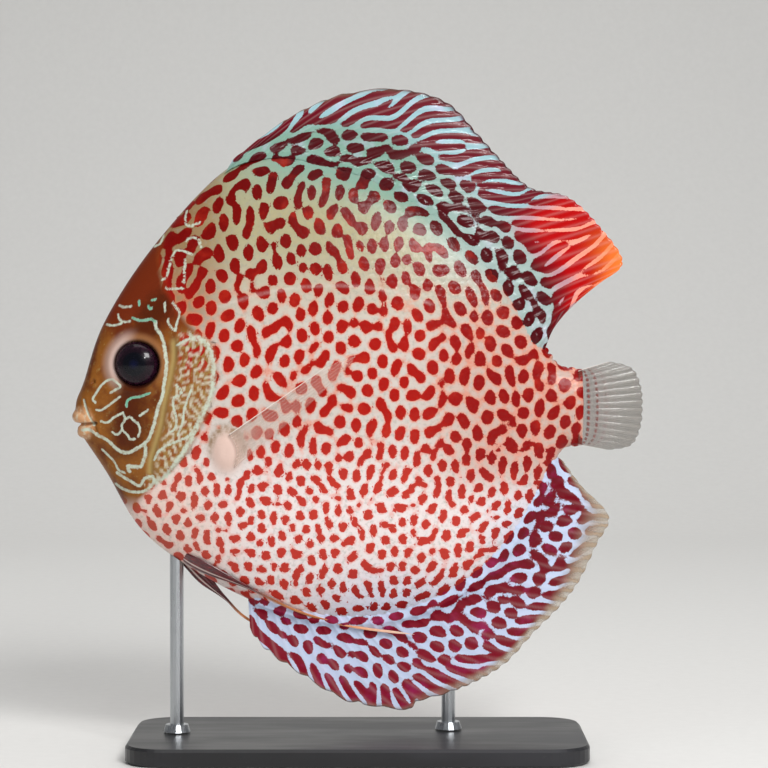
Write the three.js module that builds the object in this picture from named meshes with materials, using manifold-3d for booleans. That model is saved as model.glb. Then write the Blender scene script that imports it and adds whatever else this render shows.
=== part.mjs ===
// A spotted discus fish (Symphysodon), life size, swimming level, held on a plain display stand.
// Millimetres, +Z up. The snout points to -X and the left flank faces -Y. The origin lies on the
// floor under the middle of the whole. Fins, gill covers and eyes are pieces of their own, which
// meet the body face to face across a hairline gap.

import * as THREE from "three";
import { mergeVertices } from "three/addons/utils/BufferGeometryUtils.js";
import Module from "manifold-3d";

const wasm = await Module();
wasm.setup();

// Gap between pieces that touch
const GAP = 0.3;

// Body: the back and the belly as seen from the side, [x, z] from the snout to the tail base
const BACK = [
  [-62.2, 75.5], [-61.8, 77.9], [-60.3, 81.6], [-55.7, 94.8], [-45.1, 111.1], [-29.9, 127.4],
  [-18, 131.9], [-5, 130.1], [8.1, 125.2], [21, 116.7], [31.9, 105.2], [40.6, 89.6], [44.6, 85], [49.3, 84.3],
];
const BELLY = [
  [-62.2, 75.5], [-61.9, 73.2], [-60.9, 70], [-55.4, 61.6], [-48, 49.3], [-37.6, 40.9], [-23.8, 33.4],
  [-12.8, 29.7], [-1.8, 28.2], [9.2, 29.3], [19.6, 33.2], [28.4, 39.2], [35, 46.6], [39.8, 55.2],
  [44.6, 66.2], [49.3, 67.5],
];

// Half the body's thickness at its thickest height, [x, half]
const HALF_THICKNESS = [
  [-62.2, 0.6], [-61.2, 2.9], [-58, 4.8], [-52, 6.5], [-45, 8], [-36, 9.6], [-25, 10.5], [-12, 10.6],
  [3, 10], [17, 8.6], [29, 6.6], [38, 4.7], [44, 3.6], [49.3, 3],
];
const FLANK_FLATNESS = 2.3;
const EDGE_ROUNDNESS = 1.9;
const BODY_RINGS = 31;
const RINGS_TO_ENDS = 0.85;
const BODY_SIDES = 36;
const TAIL_JOIN_X = 43;
const BEYOND = 200;

// Gill covers, between the groove behind the cheek and the free rear edge, [x, z] downwards
const GILL_FRONT = [[-37.4, 93.2], [-39.9, 88.5], [-41.3, 80], [-42.9, 73], [-44.8, 65.5], [-46.4, 58.8]];
const GILL_REAR = [[-36.3, 93.5], [-31.8, 90], [-30.8, 83.4], [-32.9, 74.6], [-37.3, 66], [-44.6, 58.9]];
const NAPE_CUT = [-29, 131];
const THROAT_CUT = [-52.6, 53];
const GILL_RISE = 0.6;
const GILL_DEPTH = 1.3;
const POCKET_RISE = 3;

// Eyes: a ball flattened outwards in a raised orbit
const EYE = { x: -48, z: 85.5, radius: 5.1, bulge: 3.3, sunk: 1.5, turn: 10 };
const ORBIT = { ring: 5.8, thick: 1.3, flat: 0.7, sunk: 0.45 };

// Mouth: two lips bent round the snout, with the gape between them
const UPPER_LIP = { corner: [-57.6, 3.6, 73], front: [-61.35, 0, 73.9], thick: 1.6 };
const LOWER_LIP = { corner: [-57.3, 3.5, 71.7], front: [-60.5, 0, 70.5], thick: 1.35 };
const LIP_TAPER = 0.45;
const GAPE = { x: -60.4, z: 72.1, reach: [3.4, 5, 0.3], slope: 12 };
const NOSTRIL = { x: -57.8, z: 81.6, rim: 0.7, thick: 0.3, pit: 0.55, sunk: 0.1 };

// Dorsal fin, ray by ray at even steps from front to rear, [root x, tip x, tip z]
const DORSAL = [
  [-28.6, -27.3, 130.6], [-24.9, -15, 139.7], [-18.3, -2.9, 145], [-10.6, 9.2, 145.9], [-1.8, 19.6, 143],
  [7, 26.4, 136], [14.7, 31.2, 130.7], [21.3, 37.8, 124.3], [27.3, 46.2, 122.1], [31.9, 53.2, 115.5],
  [35.6, 58.1, 107.8], [38.7, 52.8, 103], [41.1, 44, 96.4],
];
const DORSAL_RAYS = 40;
const DORSAL_SPINES = 9;

// Anal fin, in the same way
const ANAL = [
  [-24.2, -23.8, 26.4], [-21.1, -19.8, 21.8], [-16.1, -12.3, 16.7], [-10.1, -2.9, 11.2], [-4, 5.9, 9.7],
  [0.9, 11.2, 9.2], [5.9, 13.2, 11], [11.4, 19.6, 12.8], [17.4, 26.4, 15.6], [23.1, 32.8, 19.6],
  [28.4, 38.9, 26.2], [33, 44.4, 31.7], [36.5, 48.8, 37.4], [39.4, 52.6, 45.3], [41.1, 55.4, 51.7],
  [42.9, 49.3, 58.5], [43.8, 45.1, 64.2],
];
const ANAL_RAYS = 37;
const ANAL_SPINES = 8;

// Thickness of both, on each side of the midline
const FIN_ROOT_HALF = 1.25;
const FIN_TIP_HALF = 0.28;
const FIN_TAPER = 1.7;
const RAY_RIDGE = 0.2;
const FIN_ROWS = 5;
const FIN_SUNK = 2.4;
const SCALLOP = 0.35;
const SPINE_SCALLOP = 0.9;
const DORSAL_SWAY = 1.6;
const ANAL_SWAY = -1.3;

// Tail fin: rays fan from the tail base to the rear edge, [x, z] downwards
const CAUDAL_ROOT = [[49.3, 84.2], [49.3, 75.9], [49.3, 67.6]];
const CAUDAL_TIP = [
  [55.5, 86], [60.4, 84.5], [62.4, 80.6], [62.8, 76.2], [62.3, 71.2], [60.2, 67.4], [55.3, 66.4],
];
const CAUDAL_RAYS = 16;
const CAUDAL_ROWS = 5;
const CAUDAL_ROOT_HALF = 2.3;
const CAUDAL_TIP_HALF = 0.26;
const CAUDAL_TAPER = 4;
const CAUDAL_SWAY = 1.2;

// Pectoral fins, folded back on the flank from a fleshy pad, [x, z] downwards
const PECTORAL_ROOT = [[-26.5, 71.3], [-25.3, 69.1], [-24.9, 66.9], [-25.6, 64]];
const PECTORAL_TIP = [[-7, 84.9], [-0.4, 87.3], [-7.9, 79.2], [-16.1, 71.9]];
const PECTORAL_RAYS = 11;
const PECTORAL_ROWS = 5;
const PECTORAL_PAD = { x: -28.4, z: 66.6, reach: [3.6, 1.3, 5.2] };
const PECTORAL_HALF = 0.3;
const PECTORAL_LIFT = [0.5, 2.4];

// Pelvic fins: a narrow folded vane that runs out in a long filament, [x, z] rearwards
const PELVIC_LEFT = [[-38.6, 43.4], [-33, 40.6], [-24, 36.6], [-13.6, 31.4], [-2, 27.9], [12.4, 26]];
const PELVIC_RIGHT = [[-38.2, 42], [-34, 37.8], [-29.5, 33.6], [-23.6, 28.4], [-10, 23], [4, 20.5]];
const PELVIC_COLUMNS = 4;
const PELVIC_ROWS = 20;
const PELVIC_WIDTH = 2.7;
const FILAMENT_WIDTH = 0.6;
const FILAMENT_FROM = 0.46;
const PELVIC_HALF = 0.32;

// Stand: a flat base and two rods
const BASE = { length: 100, width: 48, height: 4, corner: 8, edge: 0.6 };
const ROD_RADIUS = 1.5;
const ROD_SIDES = 12;
const COLLAR = { radius: 3, height: 1.6 };
const FRONT_ROD = { x: -40, y: 0, top: 50 };
const REAR_ROD = { x: 20, y: 4.4, top: 48 };

const { lerp, degToRad, clamp, smoothstep } = THREE.MathUtils;

// Point at t on a smooth curve through flat points
function curveThrough(points) {
  const curve = new THREE.SplineCurve(points.map(([a, b]) => new THREE.Vector2(a, b)));
  return (t) => curve.getPoint(clamp(t, 0, 1));
}

// Second value of a smooth curve where its first value, which only grows, is x
function heightAlong(points) {
  const samples = new THREE.SplineCurve(points.map(([a, b]) => new THREE.Vector2(a, b))).getPoints(600);
  return (x) => {
    const next = samples.findIndex((sample) => sample.x > x);
    if (next === 0) return samples[0].y;
    if (next < 0) return samples.at(-1).y;
    const [a, b] = [samples[next - 1], samples[next]];
    return lerp(a.y, b.y, (x - a.x) / (b.x - a.x));
  };
}

const backAt = heightAlong(BACK);
const bellyAt = heightAlong(BELLY);
const thicknessAt = heightAlong(HALF_THICKNESS);
const snoutX = BACK[0][0];
const tailX = BACK.at(-1)[0];

// How far the flank stands from the midline, as a share of its greatest, at a height from -1 to 1
function flankShare(height) {
  return (1 - Math.min(1, Math.abs(height)) ** FLANK_FLATNESS) ** (1 / EDGE_ROUNDNESS);
}

// Half the body's thickness at a place seen from the side
function flank(x, z) {
  const middle = (backAt(x) + bellyAt(x)) / 2;
  const half = (backAt(x) - bellyAt(x)) / 2;
  return thicknessAt(x) * flankShare((z - middle) / half);
}

function geometryOf(positions, index) {
  const geometry = new THREE.BufferGeometry();
  geometry.setAttribute("position", new THREE.Float32BufferAttribute(positions, 3));
  geometry.setIndex(index);
  return geometry;
}

// Turns a closed surface so that its faces point out
function facingOut(positions, index) {
  const [a, b, c] = [new THREE.Vector3(), new THREE.Vector3(), new THREE.Vector3()];
  let volume = 0;
  for (let i = 0; i < index.length; i += 3) {
    a.fromArray(positions, 3 * index[i]);
    b.fromArray(positions, 3 * index[i + 1]);
    c.fromArray(positions, 3 * index[i + 2]);
    volume += a.dot(b.cross(c));
  }
  return geometryOf(positions, volume < 0 ? index.reverse() : index);
}

function toSolid(geometry) {
  const bare = geometry.clone();
  for (const name of ["normal", "uv"]) bare.deleteAttribute(name);
  const merged = mergeVertices(bare);
  return new wasm.Manifold(new wasm.Mesh({
    numProp: 3,
    vertProperties: new Float32Array(merged.attributes.position.array),
    triVerts: new Uint32Array(merged.index.array),
  }));
}

// The largest closed surface of a solid
function largest(solid) {
  return solid.decompose().reduce((most, piece) => (piece.volume() > most.volume() ? piece : most));
}

function toGeometry(solid) {
  const { vertProperties, triVerts } = solid.getMesh();
  return geometryOf(vertProperties, Array.from(triVerts));
}

// The body from snout to tail base, grown outwards all round
function bodySolid(grow) {
  const positions = [snoutX - grow, 0, BACK[0][1]];
  const index = [];
  for (let ring = 1; ring <= BODY_RINGS; ring++) {
    const turn = (2 * Math.PI * ring) / BODY_RINGS;
    const x = lerp(snoutX, tailX, (turn - RINGS_TO_ENDS * Math.sin(turn)) / (2 * Math.PI));
    const middle = (backAt(x) + bellyAt(x)) / 2;
    const half = (backAt(x) - bellyAt(x)) / 2 + grow;
    for (let side = 0; side < BODY_SIDES; side++) {
      const angle = (2 * Math.PI * side) / BODY_SIDES;
      const height = Math.sin(angle);
      const out = Math.sign(Math.cos(angle)) * (thicknessAt(x) + grow) * flankShare(height);
      const atEdge = Math.abs(height) > 1 - 1e-9;
      positions.push(ring === BODY_RINGS ? x + grow : x, atEdge ? 0 : out, middle + half * height);
    }
  }
  const last = positions.length / 3;
  positions.push(tailX + grow, 0, (BACK.at(-1)[1] + BELLY.at(-1)[1]) / 2);
  const at = (ring, side) => 1 + (ring - 1) * BODY_SIDES + (side % BODY_SIDES);
  for (let side = 0; side < BODY_SIDES; side++) {
    index.push(0, at(1, side), at(1, side + 1));
    for (let ring = 1; ring < BODY_RINGS; ring++) {
      index.push(at(ring, side), at(ring + 1, side), at(ring + 1, side + 1));
      index.push(at(ring, side), at(ring + 1, side + 1), at(ring, side + 1));
    }
    index.push(at(BODY_RINGS, side), last, at(BODY_RINGS, side + 1));
  }
  return toSolid(facingOut(positions, index));
}

// A closed sheet over a grid: place(u, v, column, row) gives [x, z, y of one face, y of the other]
function sheet(columns, rows, place) {
  const positions = [];
  const index = [];
  for (let column = 0; column <= columns; column++) {
    for (let row = 0; row <= rows; row++) {
      const [x, z, near, far] = place(column / columns, row / rows, column, row);
      positions.push(x, near, z, x, far, z);
    }
  }
  const at = (column, row, face) => 2 * (column * (rows + 1) + row) + face;
  const band = (a, b) => index.push(a[0], a[1], b[0], b[0], a[1], b[1]);
  for (let column = 0; column < columns; column++) {
    for (let row = 0; row < rows; row++) {
      for (const face of [0, 1]) {
        const corners = [[0, 0], [1, 0], [1, 1], [0, 1]].map(([c, r]) => at(column + c, row + r, face));
        const [a, b, c, d] = face ? corners : corners.toReversed();
        // the same diagonal on both faces
        index.push(...(face ? [a, b, c, a, c, d] : [b, c, d, b, d, a]));
      }
    }
  }
  for (let column = 0; column < columns; column++) {
    band([at(column, 0, 0), at(column + 1, 0, 0)], [at(column, 0, 1), at(column + 1, 0, 1)]);
    band([at(column + 1, rows, 0), at(column, rows, 0)], [at(column + 1, rows, 1), at(column, rows, 1)]);
  }
  for (let row = 0; row < rows; row++) {
    band([at(0, row + 1, 0), at(0, row, 0)], [at(0, row + 1, 1), at(0, row, 1)]);
    band([at(columns, row, 0), at(columns, row + 1, 0)], [at(columns, row, 1), at(columns, row + 1, 1)]);
  }
  return facingOut(positions, index);
}

// A fin with a ridge at every ray, its membrane drawn in a little between the ray tips
function rayedFin({ rays, rows, root, tip, spines = 0, half, middle }) {
  return toSolid(sheet(2 * rays, rows, (u, v, column) => {
    const onRay = column % 2 === 1;
    const from = root(u);
    const to = tip(u);
    const inset = (column < 2 * spines ? SPINE_SCALLOP : SCALLOP) * (onRay ? 0 : 1);
    const share = v * (1 - inset / from.distanceTo(to));
    const x = lerp(from.x, to.x, share);
    const z = lerp(from.y, to.y, share);
    const thick = half(v) + (onRay ? RAY_RIDGE * (1 - 0.6 * v) : 0);
    const y = middle(x, z, u, v);
    return [x, z, y - thick, y + thick];
  }));
}

// The fin along the back or the belly, with its root sunk in the body before it is cut free
function edgeFin(table, edgeAt, rays, spines, sway) {
  const rootX = curveThrough(table.map(([x], i) => [i, x]));
  const tip = curveThrough(table.map(([, x, z]) => [x, z]));
  const fin = rayedFin({
    rays,
    rows: FIN_ROWS,
    spines,
    tip,
    root: (u) => {
      const x = rootX(u).y;
      const edge = new THREE.Vector2(x, edgeAt(x));
      return edge.addScaledVector(edge.clone().sub(tip(u)).normalize(), FIN_SUNK);
    },
    half: (v) => lerp(FIN_TIP_HALF, FIN_ROOT_HALF, (1 - v) ** FIN_TAPER),
    middle: (x, z, u, v) => sway * v * v * Math.sin(1.6 * Math.PI * u),
  });
  return largest(fin.subtract(bodyGrown));
}

function ellipsoid(reach, place, [around, down] = [16, 10]) {
  return toSolid(new THREE.SphereGeometry(1, around, down).scale(...reach).translate(...place));
}

// A flat outline in the side view, pushed through the body from one side to the other
function prism(outline) {
  const shape = new THREE.Shape(outline.map(([x, z]) => new THREE.Vector2(x, z)));
  const geometry = new THREE.ExtrudeGeometry(shape, { depth: 2 * BEYOND, bevelEnabled: false });
  return toSolid(geometry.translate(0, 0, -BEYOND).rotateX(Math.PI / 2));
}

// All that lies further to the rear than x
function behind(x) {
  return prism([[x, -BEYOND], [BEYOND, -BEYOND], [BEYOND, BEYOND], [x, BEYOND]]);
}

// The same solid on the other flank
function mirrored(solid) {
  return solid.mirror([0, 1, 0]);
}

// A gill cover on the left flank, or the pocket that it lies in, when grown
function gillCover(grow) {
  const front = curveThrough(GILL_FRONT);
  const rear = curveThrough(GILL_REAR);
  return toSolid(sheet(...(grow ? [5, 10] : [7, 11]), (u, v) => {
    const from = front(v);
    const to = rear(v);
    const across = to.clone().sub(from).normalize();
    const point = from.clone().lerp(to, u).addScaledVector(across, (2 * u - 1) * grow);
    const z = point.y + (1 - 2 * v) * grow;
    const swell = smoothstep(u, 0, 0.7) * Math.sin(Math.PI * clamp(v, 0.04, 0.96)) ** 0.4;
    const rise = grow ? POCKET_RISE : GILL_RISE * swell;
    const out = flank(point.x, z);
    return [point.x, z, -(out + rise), -(out - GILL_DEPTH - grow)];
  }));
}

// What lies before (-1) or behind (1) the line from the nape past the gill opening to the throat
function besideGillLine(side) {
  const rear = curveThrough(GILL_REAR);
  const line = [NAPE_CUT, [-32.6, 112]];
  for (let step = 0; step <= 10; step++) line.push(rear(step / 10).toArray());
  line.push(THROAT_CUT);
  const shift = side > 0 ? GAP : 0;
  const edge = line.map(([x, z]) => [x + shift, z]);
  const above = [edge[0][0], BEYOND];
  const below = [edge.at(-1)[0], -BEYOND];
  return prism([above, ...edge, below, [side * BEYOND, -BEYOND], [side * BEYOND, BEYOND]]);
}

// The left eyeball, or its socket, when grown
function eyeBall(grow) {
  const y = -(flank(EYE.x, EYE.z) - EYE.sunk);
  const ball = new THREE.SphereGeometry(1, 20, 10).rotateX(Math.PI / 2);
  ball.scale(EYE.radius + grow, EYE.bulge + grow, EYE.radius + grow);
  return toSolid(ball.rotateZ(-degToRad(EYE.turn)).translate(EYE.x, y, EYE.z));
}

function orbit() {
  const ring = new THREE.TorusGeometry(ORBIT.ring, ORBIT.thick, 6, 20).rotateX(Math.PI / 2);
  const y = -(flank(EYE.x, EYE.z) - ORBIT.sunk);
  return toSolid(ring.scale(1, ORBIT.flat, 1).rotateZ(-degToRad(EYE.turn)).translate(EYE.x, y, EYE.z));
}

// A closed rod along a curve, with its thickness given from 0 to 1 along it
function taperedRod(curve, steps, sides, thicknessAt) {
  const { normals, binormals } = curve.computeFrenetFrames(steps);
  const positions = curve.getPointAt(0).toArray();
  const index = [];
  for (let step = 0; step <= steps; step++) {
    const middle = curve.getPointAt(step / steps);
    const thick = thicknessAt(step / steps);
    for (let side = 0; side < sides; side++) {
      const angle = (2 * Math.PI * side) / sides;
      const rim = middle.clone().addScaledVector(normals[step], thick * Math.cos(angle));
      positions.push(...rim.addScaledVector(binormals[step], thick * Math.sin(angle)));
    }
  }
  const last = positions.length / 3;
  positions.push(...curve.getPointAt(1));
  const at = (step, side) => 1 + step * sides + (side % sides);
  for (let side = 0; side < sides; side++) {
    index.push(0, at(0, side + 1), at(0, side), last, at(steps, side), at(steps, side + 1));
    for (let step = 0; step < steps; step++) {
      index.push(at(step, side), at(step, side + 1), at(step + 1, side + 1));
      index.push(at(step, side), at(step + 1, side + 1), at(step + 1, side));
    }
  }
  return toSolid(facingOut(positions, index));
}

// A lip from one corner of the mouth round the snout to the other, thinner at the corners
function lip({ corner, front, thick }) {
  const [x, y, z] = corner;
  const bend = [lerp(x, front[0], 0.72), 0.72 * y, lerp(z, front[2], 0.8)];
  const path = new THREE.CatmullRomCurve3([
    new THREE.Vector3(x, -y, z),
    new THREE.Vector3(bend[0], -bend[1], bend[2]),
    new THREE.Vector3(...front),
    new THREE.Vector3(...bend),
    new THREE.Vector3(x, y, z),
  ]);
  return taperedRod(path, 12, 8, (t) => thick * lerp(LIP_TAPER, 1, Math.sin(Math.PI * t)));
}

function gape() {
  const slit = new THREE.SphereGeometry(1, 14, 6).scale(...GAPE.reach).rotateY(-degToRad(GAPE.slope));
  return toSolid(slit.translate(GAPE.x, 0, GAPE.z));
}

// Rim and pit of the left nostril
function nostril() {
  const step = 0.5;
  const [x, z] = [NOSTRIL.x, NOSTRIL.z];
  const alongX = new THREE.Vector3(2 * step, flank(x - step, z) - flank(x + step, z), 0);
  const alongZ = new THREE.Vector3(0, flank(x, z - step) - flank(x, z + step), 2 * step);
  const out = alongX.cross(alongZ).normalize();
  const middle = new THREE.Vector3(x, -flank(x, z), z).addScaledVector(out, -NOSTRIL.sunk);
  const turn = new THREE.Quaternion().setFromUnitVectors(new THREE.Vector3(0, 0, 1), out);
  const rim = new THREE.TorusGeometry(NOSTRIL.rim, NOSTRIL.thick, 5, 9).applyQuaternion(turn);
  return {
    rim: toSolid(rim.translate(...middle)),
    pit: ellipsoid([NOSTRIL.pit, NOSTRIL.pit, NOSTRIL.pit], middle.toArray(), [8, 6]),
  };
}

function pectoralPad(grow) {
  const [x, y, z] = PECTORAL_PAD.reach;
  const out = flank(PECTORAL_PAD.x, PECTORAL_PAD.z);
  return ellipsoid([x + grow, y + grow, z + grow], [PECTORAL_PAD.x, -out, PECTORAL_PAD.z], [16, 10]);
}

function pectoralFin() {
  return rayedFin({
    rays: PECTORAL_RAYS,
    rows: PECTORAL_ROWS,
    root: curveThrough(PECTORAL_ROOT),
    tip: curveThrough(PECTORAL_TIP),
    half: () => PECTORAL_HALF,
    middle: (x, z, u, v) => -(flank(x, z) + PECTORAL_HALF + RAY_RIDGE + lerp(...PECTORAL_LIFT, v * v)),
  });
}

// A pelvic fin beside the belly and the anal fin; side is -1 on the left
function pelvicFin(points, side) {
  const path = curveThrough(points);
  const beside = FIN_ROOT_HALF + RAY_RIDGE;
  return toSolid(sheet(PELVIC_COLUMNS, PELVIC_ROWS, (u, v, column) => {
    const point = path(v);
    const along = path(v + 0.01).sub(path(v - 0.01)).normalize();
    const fold = clamp(v / FILAMENT_FROM, 0, 1);
    const vane = lerp(1.5, PELVIC_WIDTH, Math.sin(Math.PI * fold * 0.8));
    const width = lerp(vane, FILAMENT_WIDTH, smoothstep(fold, 0.25, 1));
    const x = point.x + along.y * width * (u - 0.5);
    const z = point.y - along.x * width * (u - 0.5);
    const sunk = 1.4 * (1 - smoothstep(v, 0, 0.1));
    const thick = PELVIC_HALF + (column % 2 ? 0.12 : 0);
    const out = Math.max(flank(x, z), beside) + GAP + 0.15 + PELVIC_HALF - sunk;
    return [x, z, side * (out + thick), side * (out - thick)];
  }));
}

// A rod from the base up into the body, with a collar at its foot, before it is cut free
function rod({ x, y, top }) {
  const foot = BASE.height + GAP;
  const bar = new THREE.CylinderGeometry(ROD_RADIUS, ROD_RADIUS, top - foot, ROD_SIDES);
  bar.rotateX(Math.PI / 2).translate(x, y, (top + foot) / 2);
  const collar = new THREE.CylinderGeometry(COLLAR.radius - 0.5, COLLAR.radius, COLLAR.height, 16);
  collar.rotateX(Math.PI / 2).translate(x, y, foot + COLLAR.height / 2);
  return toSolid(bar).add(toSolid(collar));
}

function standBase() {
  const [x, y] = [BASE.length / 2 - BASE.edge, BASE.width / 2 - BASE.edge];
  const corner = BASE.corner;
  const outline = new THREE.Shape();
  outline.absarc(x - corner, y - corner, corner, 0, Math.PI / 2);
  outline.absarc(corner - x, y - corner, corner, Math.PI / 2, Math.PI);
  outline.absarc(corner - x, corner - y, corner, Math.PI, 1.5 * Math.PI);
  outline.absarc(x - corner, corner - y, corner, 1.5 * Math.PI, 2 * Math.PI);
  const geometry = new THREE.ExtrudeGeometry(outline, {
    depth: BASE.height - 2 * BASE.edge,
    curveSegments: 4,
    bevelThickness: BASE.edge,
    bevelSize: BASE.edge,
    bevelSegments: 1,
  });
  return toSolid(geometry.translate(0, 0, BASE.edge));
}

const body = bodySolid(0);
const bodyGrown = bodySolid(GAP);

// Head, torso and tail base
const leftCover = gillCover(0);
const pocket = gillCover(GAP);
const noses = nostril();
let head = body.intersect(besideGillLine(-1));
head = head.add(orbit()).add(mirrored(orbit())).add(lip(UPPER_LIP)).add(lip(LOWER_LIP));
head = head.add(noses.rim).add(mirrored(noses.rim));
for (const cut of [eyeBall(GAP), pocket, noses.pit]) head = head.subtract(cut).subtract(mirrored(cut));
head = head.subtract(gape());

let torso = body.intersect(besideGillLine(1)).subtract(behind(TAIL_JOIN_X - GAP));
torso = torso.subtract(pocket).subtract(mirrored(pocket));
torso = torso.add(pectoralPad(0)).add(mirrored(pectoralPad(0)));
const tailBase = body.intersect(behind(TAIL_JOIN_X));

// Fins
const dorsalFin = edgeFin(DORSAL, backAt, DORSAL_RAYS, DORSAL_SPINES, DORSAL_SWAY);
const analFin = edgeFin(ANAL, bellyAt, ANAL_RAYS, ANAL_SPINES, ANAL_SWAY);
const caudalRoot = curveThrough(CAUDAL_ROOT);
const caudalFin = largest(rayedFin({
  rays: CAUDAL_RAYS,
  rows: CAUDAL_ROWS,
  root: caudalRoot,
  tip: curveThrough(CAUDAL_TIP),
  half: (v) => lerp(CAUDAL_TIP_HALF, CAUDAL_ROOT_HALF, (1 - v) ** CAUDAL_TAPER),
  middle: (x, z, u, v) => CAUDAL_SWAY * v * v,
}).subtract(bodyGrown));
const pectoral = largest(pectoralFin().subtract(bodyGrown).subtract(pectoralPad(GAP)));
const pelvicLeft = largest(pelvicFin(PELVIC_LEFT, -1).subtract(bodyGrown));
const pelvicRight = largest(pelvicFin(PELVIC_RIGHT, 1).subtract(bodyGrown));

// Colours as seen, with how rough each surface is
const FINISHES = {
  skin: ["#c9bfb4", 0.35, 0],
  face: ["#8a5a28", 0.35, 0],
  eye: ["#140c1a", 0.05, 0],
  fin: ["#8b1220", 0.35, 0],
  clearFin: ["#b9aea6", 0.3, 0],
  base: ["#1c1c1e", 0.4, 0],
  rod: ["#b8bcc0", 0.3, 1],
};

function piece(name, solid, finish) {
  const [color, roughness, metalness] = FINISHES[finish];
  const geometry = toGeometry(largest(solid));
  geometry.computeVertexNormals();
  const mesh = new THREE.Mesh(geometry, new THREE.MeshStandardMaterial({ color, roughness, metalness }));
  mesh.name = name;
  return mesh;
}

const fish = new THREE.Group();
fish.add(
  piece("head", head, "face"),
  piece("torso", torso, "skin"),
  piece("tail_base", tailBase, "skin"),
  piece("gill_cover_left", leftCover, "face"),
  piece("gill_cover_right", mirrored(leftCover), "face"),
  piece("eye_left", eyeBall(0), "eye"),
  piece("eye_right", mirrored(eyeBall(0)), "eye"),
  piece("dorsal_fin", dorsalFin, "fin"),
  piece("anal_fin", analFin, "fin"),
  piece("caudal_fin", caudalFin, "clearFin"),
  piece("pectoral_fin_left", pectoral, "clearFin"),
  piece("pectoral_fin_right", mirrored(pectoral), "clearFin"),
  piece("pelvic_fin_left", pelvicLeft, "fin"),
  piece("pelvic_fin_right", pelvicRight, "fin"),
);

const stand = new THREE.Group();
stand.add(
  piece("stand_base", standBase(), "base"),
  piece("stand_rod_front", rod(FRONT_ROD).subtract(bodyGrown), "rod"),
  piece("stand_rod_rear", rod(REAR_ROD).subtract(bodyGrown), "rod"),
);

const model = new THREE.Group();
model.add(fish, stand);
export default model;
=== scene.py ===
import math

import bpy
import numpy as np
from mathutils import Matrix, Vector


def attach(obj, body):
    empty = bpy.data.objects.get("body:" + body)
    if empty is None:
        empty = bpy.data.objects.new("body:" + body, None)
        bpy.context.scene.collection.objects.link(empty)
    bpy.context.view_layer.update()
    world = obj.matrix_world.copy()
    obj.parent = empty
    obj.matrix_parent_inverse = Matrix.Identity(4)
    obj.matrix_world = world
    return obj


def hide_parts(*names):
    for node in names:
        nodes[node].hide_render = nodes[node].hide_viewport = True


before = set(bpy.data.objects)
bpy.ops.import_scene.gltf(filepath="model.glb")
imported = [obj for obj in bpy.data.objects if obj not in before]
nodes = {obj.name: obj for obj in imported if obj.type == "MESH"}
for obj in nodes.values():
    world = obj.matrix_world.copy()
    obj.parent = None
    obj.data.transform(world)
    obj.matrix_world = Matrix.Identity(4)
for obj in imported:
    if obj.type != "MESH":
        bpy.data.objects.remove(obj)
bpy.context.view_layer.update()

MM = 0.001
DENT_DEPTH = 0.1 * MM

# Body: the back and the belly as seen from the side, [x, z] from the snout to the tail base
BACK = [
    [-62.2, 75.5], [-61.8, 77.9], [-60.3, 81.6], [-55.7, 94.8], [-45.1, 111.1], [-29.9, 127.4],
    [-18, 131.9], [-5, 130.1], [8.1, 125.2], [21, 116.7], [31.9, 105.2], [40.6, 89.6], [44.6, 85],
    [49.3, 84.3],
]
BELLY = [
    [-62.2, 75.5], [-61.9, 73.2], [-60.9, 70], [-55.4, 61.6], [-48, 49.3], [-37.6, 40.9], [-23.8, 33.4],
    [-12.8, 29.7], [-1.8, 28.2], [9.2, 29.3], [19.6, 33.2], [28.4, 39.2], [35, 46.6], [39.8, 55.2],
    [44.6, 66.2], [49.3, 67.5],
]
HALF_THICKNESS = [
    [-62.2, 0.6], [-61.2, 2.9], [-58, 4.8], [-52, 6.5], [-45, 8], [-36, 9.6], [-25, 10.5], [-12, 10.6],
    [3, 10], [17, 8.6], [29, 6.6], [38, 4.7], [44, 3.6], [49.3, 3],
]
FLANK_FLATNESS = 2.3
EDGE_ROUNDNESS = 1.9

# Rear edge of the gill cover, downwards, and the groove behind the cheek
GILL_REAR = [[-36.3, 93.5], [-31.8, 90], [-30.8, 83.4], [-32.9, 74.6], [-37.3, 66], [-44.6, 58.9]]
CHEEK_GROOVE = [
    [-39.9, 90.3], [-39.9, 87], [-40.4, 84], [-41, 81.1], [-41.7, 78.2], [-42.3, 75.2], [-42.8, 72.3],
    [-43.9, 68.6], [-45, 65], [-45.2, 62],
]
GILL_RISE, GILL_GAP = 0.6, 0.35

# Eye, orbit, mouth and nostril
EYE = {"x": -48, "z": 85.5, "radius": 5.1, "bulge": 3.3, "sunk": 1.5, "turn": 10}
UPPER_LIP = {"corner": [-57.6, 3.6, 73], "front": [-61.35, 0, 73.9], "thick": 1.6}
LOWER_LIP = {"corner": [-57.3, 3.5, 71.7], "front": [-60.5, 0, 70.5], "thick": 1.35}
LIP_TAPER, GAPE_DEPTH = 0.45, 1.3
GAPE_LINE = [[-63, 72.1], [-60, 72.15], [-57.2, 72.5]]
NOSTRIL = {"x": -57.8, "z": 81.6}
JAW_FOLD = [[-59.9, 77.6], [-59.5, 76], [-58.6, 73.8], [-57.6, 72.1], [-56.9, 70.4]]
PECTORAL_PAD = {"x": -28.4, "z": 66.6, "half_width": 3.6, "half_height": 5.2}
LATERAL_LINE = [[-30, 98], [-18, 101.4], [-4, 102.6], [9, 101], [16, 98.5]]

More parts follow.
